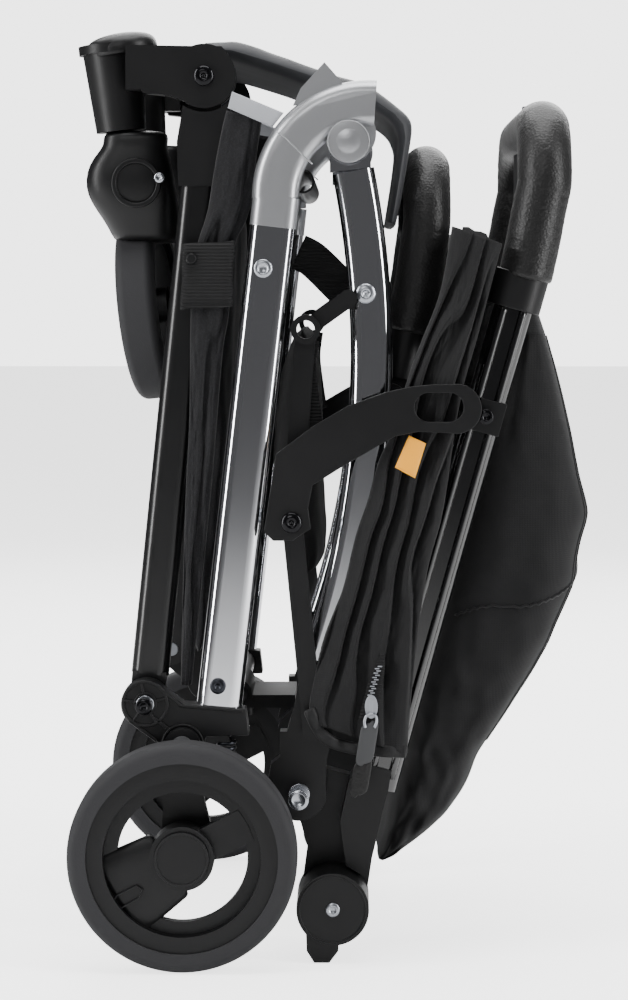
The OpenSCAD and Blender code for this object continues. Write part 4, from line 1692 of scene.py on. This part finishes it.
@dataclass
class CasterHousing:
    """The swivel's domed cap and the moulded fork shell over each front wheel."""

    # Each section of the shell: its height, its two ends along X, and its outer and inner Y on the left side.
    sections: list[tuple[float, float, float, float, float]] = field(
        default_factory=lambda: [
            (549, -152, -112, -136, -104), (544, -154.5, -111, -137, -103), (539, -154, -112, -137, -103),
            (534, -158, -111, -138, -102), (526, -164, -109, -139, -100), (516, -166.5, -107, -140, -96),
            (506, -165.5, -105.5, -139, -90), (497, -160.5, -104.5, -137, -82),
            (488, -154.5, -104, -133, -70), (480, -150.5, -104, -130, -62),
            (473, -147.5, -104.5, -128, -58),
        ]
    )

    def build(self, palette: Palette) -> None:
        """Builds the caps, shells, ears and struts on both sides.

        Args:
            palette: The finishes.
        """
        nylon = palette["moulded_black_nylon"]
        for hand in Hand:
            self.cap(hand, nylon)
            self.shell(hand, nylon)
            bm = bmesh.new()
            round_rib(bm, (-131.5, 513.5), 16.5, 13.0, 132.0, 140.6, hand)
            finish_piece(f"caster_ear_{hand.word}", bm, nylon, body=f"caster_{hand.word}", bevel=1.0)
            self.struts(hand, nylon)

    def cap(self, hand: Hand, nylon: bpy.types.Material) -> None:
        """Turns the domed cap on the swivel, which leans with its arm.

        Args:
            hand: The side.
            nylon: Its finish.
        """
        bm = bmesh.new()
        profile = [(23.0, -7.5), (23.4, -3.0), (22.8, 0.5), (20.5, 3.4), (15.0, 5.4), (8.0, 6.6), (0.0, 7.0)]
        first = [bm.verts.new((t * MM, 0.0, h * MM)) for t, h in profile]
        line = [bm.edges.new(pair) for pair in zip(first, first[1:])]
        turn_about(bm, first + line, (0, 0, 1), 48)
        set_down(bm, bm.verts[:], place(-142.5, 606.0, hand.value * 120), radians(-9), "Y")
        finish_piece(f"swivel_cap_{hand.word}", bm, nylon, body="front_arms", thickness=1.2, subdivide=1)

    def shell(self, hand: Hand, nylon: bpy.types.Material) -> None:
        """Moulds the smooth shell of one fork through its sections.

        Args:
            hand: The side.
            nylon: Its finish.
        """
        bm = bmesh.new()
        around = 40
        rings = []
        for z, x0, x1, y_out, y_in in self.sections:
            ring = []
            for t in (2 * pi * k / around for k in range(around)):
                x = (x0 + x1) / 2 + (x1 - x0) / 2 * squared(cos(t), 0.6)
                y = (y_out + y_in) / 2 + (y_in - y_out) / 2 * squared(sin(t), 0.6)
                ring.append(place(x, z, -hand.value * y))
            rings.append(ring)
        loft(bm, rings, closed=True, capped=True)
        shell = finish_piece(f"caster_shell_{hand.word}", bm, nylon, body=f"caster_{hand.word}", subdivide=1)
        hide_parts(f"caster_fork_{hand.word}")

    def struts(self, hand: Hand, nylon: bpy.types.Material) -> None:
        """Runs two struts from the shell down to the axle's boss.

        Args:
            hand: The side.
            nylon: Their finish.
        """
        bm = bmesh.new()
        for x in (-141.7, -108.9):
            strut = bmesh.ops.create_cube(bm, size=1.0)["verts"]
            bmesh.ops.scale(bm, vec=Vector((3.4, 20.0, 62.0)) * MM, verts=strut)
            set_down(bm, strut, place(x, 455, hand.value * 80), radians(6), "Y")
        boss = bmesh.ops.create_cone(
            bm, cap_ends=True, segments=24, radius1=5 * MM, radius2=5 * MM, depth=38 * MM
        )["verts"]
        set_down(bm, boss, place(-126, 431.5, hand.value * 78.4), radians(90), "Y")
        finish_piece(f"caster_struts_{hand.word}", bm, nylon, body=f"caster_{hand.word}", bevel=1.4)


class Studio:
    """The pale floor, the white backdrop, the soft lights and the camera."""

    def build(self, palette: Palette) -> None:
        """Sets the studio up.

        Args:
            palette: The finishes.
        """
        self.floor(palette["seamless_paper"])
        self.backdrop()
        self.lights()
        self.camera()

    def floor(self, paper: bpy.types.Material) -> None:
        """Lays the paper floor just under the wheels.

        Args:
            paper: Its finish.
        """
        bm = bmesh.new()
        bmesh.ops.create_grid(bm, x_segments=8, y_segments=8, size=14.0)
        bmesh.ops.translate(bm, vec=Vector((0.0, 0.0, -0.0006)), verts=bm.verts[:])
        tree = paper.node_tree
        shader = next(n for n in tree.nodes if n.type == "BSDF_PRINCIPLED")
        ray = add(tree, "LightPath")
        # The floor glows a little, to the eye alone, so it stays as pale far away as it is near.
        glow = add(tree, "Math", {0: ray.outputs["Is Camera Ray"], 1: 2.4}, operation="MULTIPLY")
        shader.inputs["Emission Color"].default_value = linear("#ffffff")
        tree.links.new(glow.outputs[0], shader.inputs["Emission Strength"])
        finish_piece("studio_floor", bm, paper, smooth=False)

    def backdrop(self) -> None:
        """Makes a world that is white to look at, and a quiet grey room to light and reflect."""
        scene = bpy.context.scene
        world = scene.world or bpy.data.worlds.new("studio")
        scene.world = world
        world.use_nodes = True
        tree = world.node_tree
        tree.nodes.clear()
        room = add(tree, "Background", {"Color": linear("#7a7a7c"), "Strength": 0.5})
        white = add(tree, "Background", {"Color": linear("#ffffff"), "Strength": 3.6})
        ray = add(tree, "LightPath")
        mixed = add(
            tree,
            "MixShader",
            {0: ray.outputs["Is Camera Ray"], 1: room.outputs["Background"], 2: white.outputs["Background"]},
        )
        add(tree, "OutputWorld", {"Surface": mixed.outputs["Shader"]})

    def lights(self) -> None:
        """Hangs the soft boxes, all turned to the stroller but one, which lights the floor behind it."""
        stroller, floor_behind = Vector((0.0, 0.0, 0.3)), Vector((0.0, 0.9, 0.0))
        for name, at, size, power, target in (
            ("key_light_left", Vector((-1.7, -0.9, 0.9)), (0.4, 2.0), 40, stroller),
            ("key_light_right", Vector((1.7, -1.0, 0.8)), (0.35, 2.0), 40, stroller),
            ("top_light", Vector((0.0, -0.3, 2.0)), (1.4, 1.0), 30, stroller),
            ("front_light", Vector((-0.6, -2.8, 1.9)), (1.0, 0.8), 13, stroller),
            ("back_light", Vector((0.4, 2.2, 1.6)), (2.0, 1.2), 45, stroller),
            ("floor_light", Vector((0.0, 1.2, 2.4)), (3.0, 1.4), 60, floor_behind),
        ):
            light = bpy.data.lights.new(name, "AREA")
            light.shape = "RECTANGLE"
            light.size, light.size_y = size
            light.energy = power
            self.set_up(bpy.data.objects.new(name, light), at, target - at)

    def camera(self) -> None:
        """Sets up the camera, with a long lens and a view a little from above."""
        lens = bpy.data.cameras.new("camera")
        lens.sensor_width = 36.0
        lens.lens = 116.7
        camera = bpy.data.objects.new("camera", lens)
        self.set_up(camera, Vector((0.011, -2.295, 0.452)), Vector((-37.0, 3241.0, -224.0)).normalized())
        bpy.context.scene.camera = camera

    def set_up(self, stand: bpy.types.Object, at: Vector, aim: Vector) -> None:
        """Links a lamp or camera into the scene, in its place and turned its way.

        Args:
            stand: The lamp or camera.
            at: Its place.
            aim: The way it looks.
        """
        bpy.context.scene.collection.objects.link(stand)
        stand.matrix_world = Matrix.Translation(at) @ aim.to_track_quat("-Z", "Y").to_matrix().to_4x4()


def main() -> None:
    """Builds everything in order."""
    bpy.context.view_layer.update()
    palette = Palette()
    Studio().build(palette)
    HardParts().dress(palette)
    CoilSprings().build(palette)
    GripBar(
        "handle_wrap", "handle_grip", "handle_frame",
        [(125.5, 449.5), (131.2, 475.8), (135.2, 497.6), (138.6, 513)],
        half_width=149.0, bend=38.0, radius=18.0,
    ).build(palette)
    GripBar(
        "bumper_wrap", "bumper_bar", "bumper",
        [(48.5, 414), (55.5, 444.7), (58.8, 468.2), (61.6, 488)],
        half_width=124.0, bend=36.0, radius=16.0,
    ).build(palette)
    Canopy().build(palette)
    BackrestBag().build(palette)
    SeatBand().build(palette)
    SeatHammock().build(palette)
    Basket().build(palette)
    BracketRibs().build(palette)
    CasterHousing().build(palette)
    for name, part in {
        "leg_rivet_high": Fastener((-46.5, 456.9), 175.6, 6.0, "rear_frame", "zinc_plated_steel", 0.3, 0.6),
        "leg_rivet_low": Fastener((-76.5, 182.5), 175.6, 5.2, "rear_frame", "oiled_spring_steel", 0.35, 0.3),
        "seat_tube_rivet": Fastener((20.7, 440.5), 158.6, 6.6, "seat_frame", "zinc_plated_steel", 0.4, 0.3),
        "elbow_cap": Fastener((9.3, 539.5), 175.2, 14.0, "rear_frame", "satin_silver_casting", 0.07, 0.0),
        "arm_rivet": Fastener((-85.6, 582.8), 160.8, 6.6, "front_legs", dome=0.42, socket=0.2),
        "bracket_rivet_front": Fastener((-124.5, 170.5), 188.0, 5.6, "rear_frame"),
        "suspension_rivet": Fastener(
            (-99.7, 144.0), 188.0, 7.0, "rear_frame", "grey_moulded_rubber", 0.2, 0.3
        ),
        "handle_pivot_bolt": Fastener(
            (-23.2, 108.2), 183.2, 6.6, "seat_frame", "zinc_plated_steel", 0.25, 0.66
        ),
        "knob_bolt": Fastener((-0.8, 35.6), 184.6, 4.6, "handle_frame", "zinc_plated_steel", 0.3, 0.5),
        "lock_rivet": Fastener((-27.8, 291.0), 183.0, 6.8, "seat_frame", dome=0.42, socket=0.2),
        "clamp_stud": Fastener((99.4, 359.8), 171.0, 5.0, "handle_frame"),
        "caster_screw": Fastener((-116, 517), 140.5, 3.4, "caster_{}", "zinc_plated_steel"),
    }.items():
        part.build(name, palette)
    LOG.info("size written")


if __name__ == "__main__":
    main()
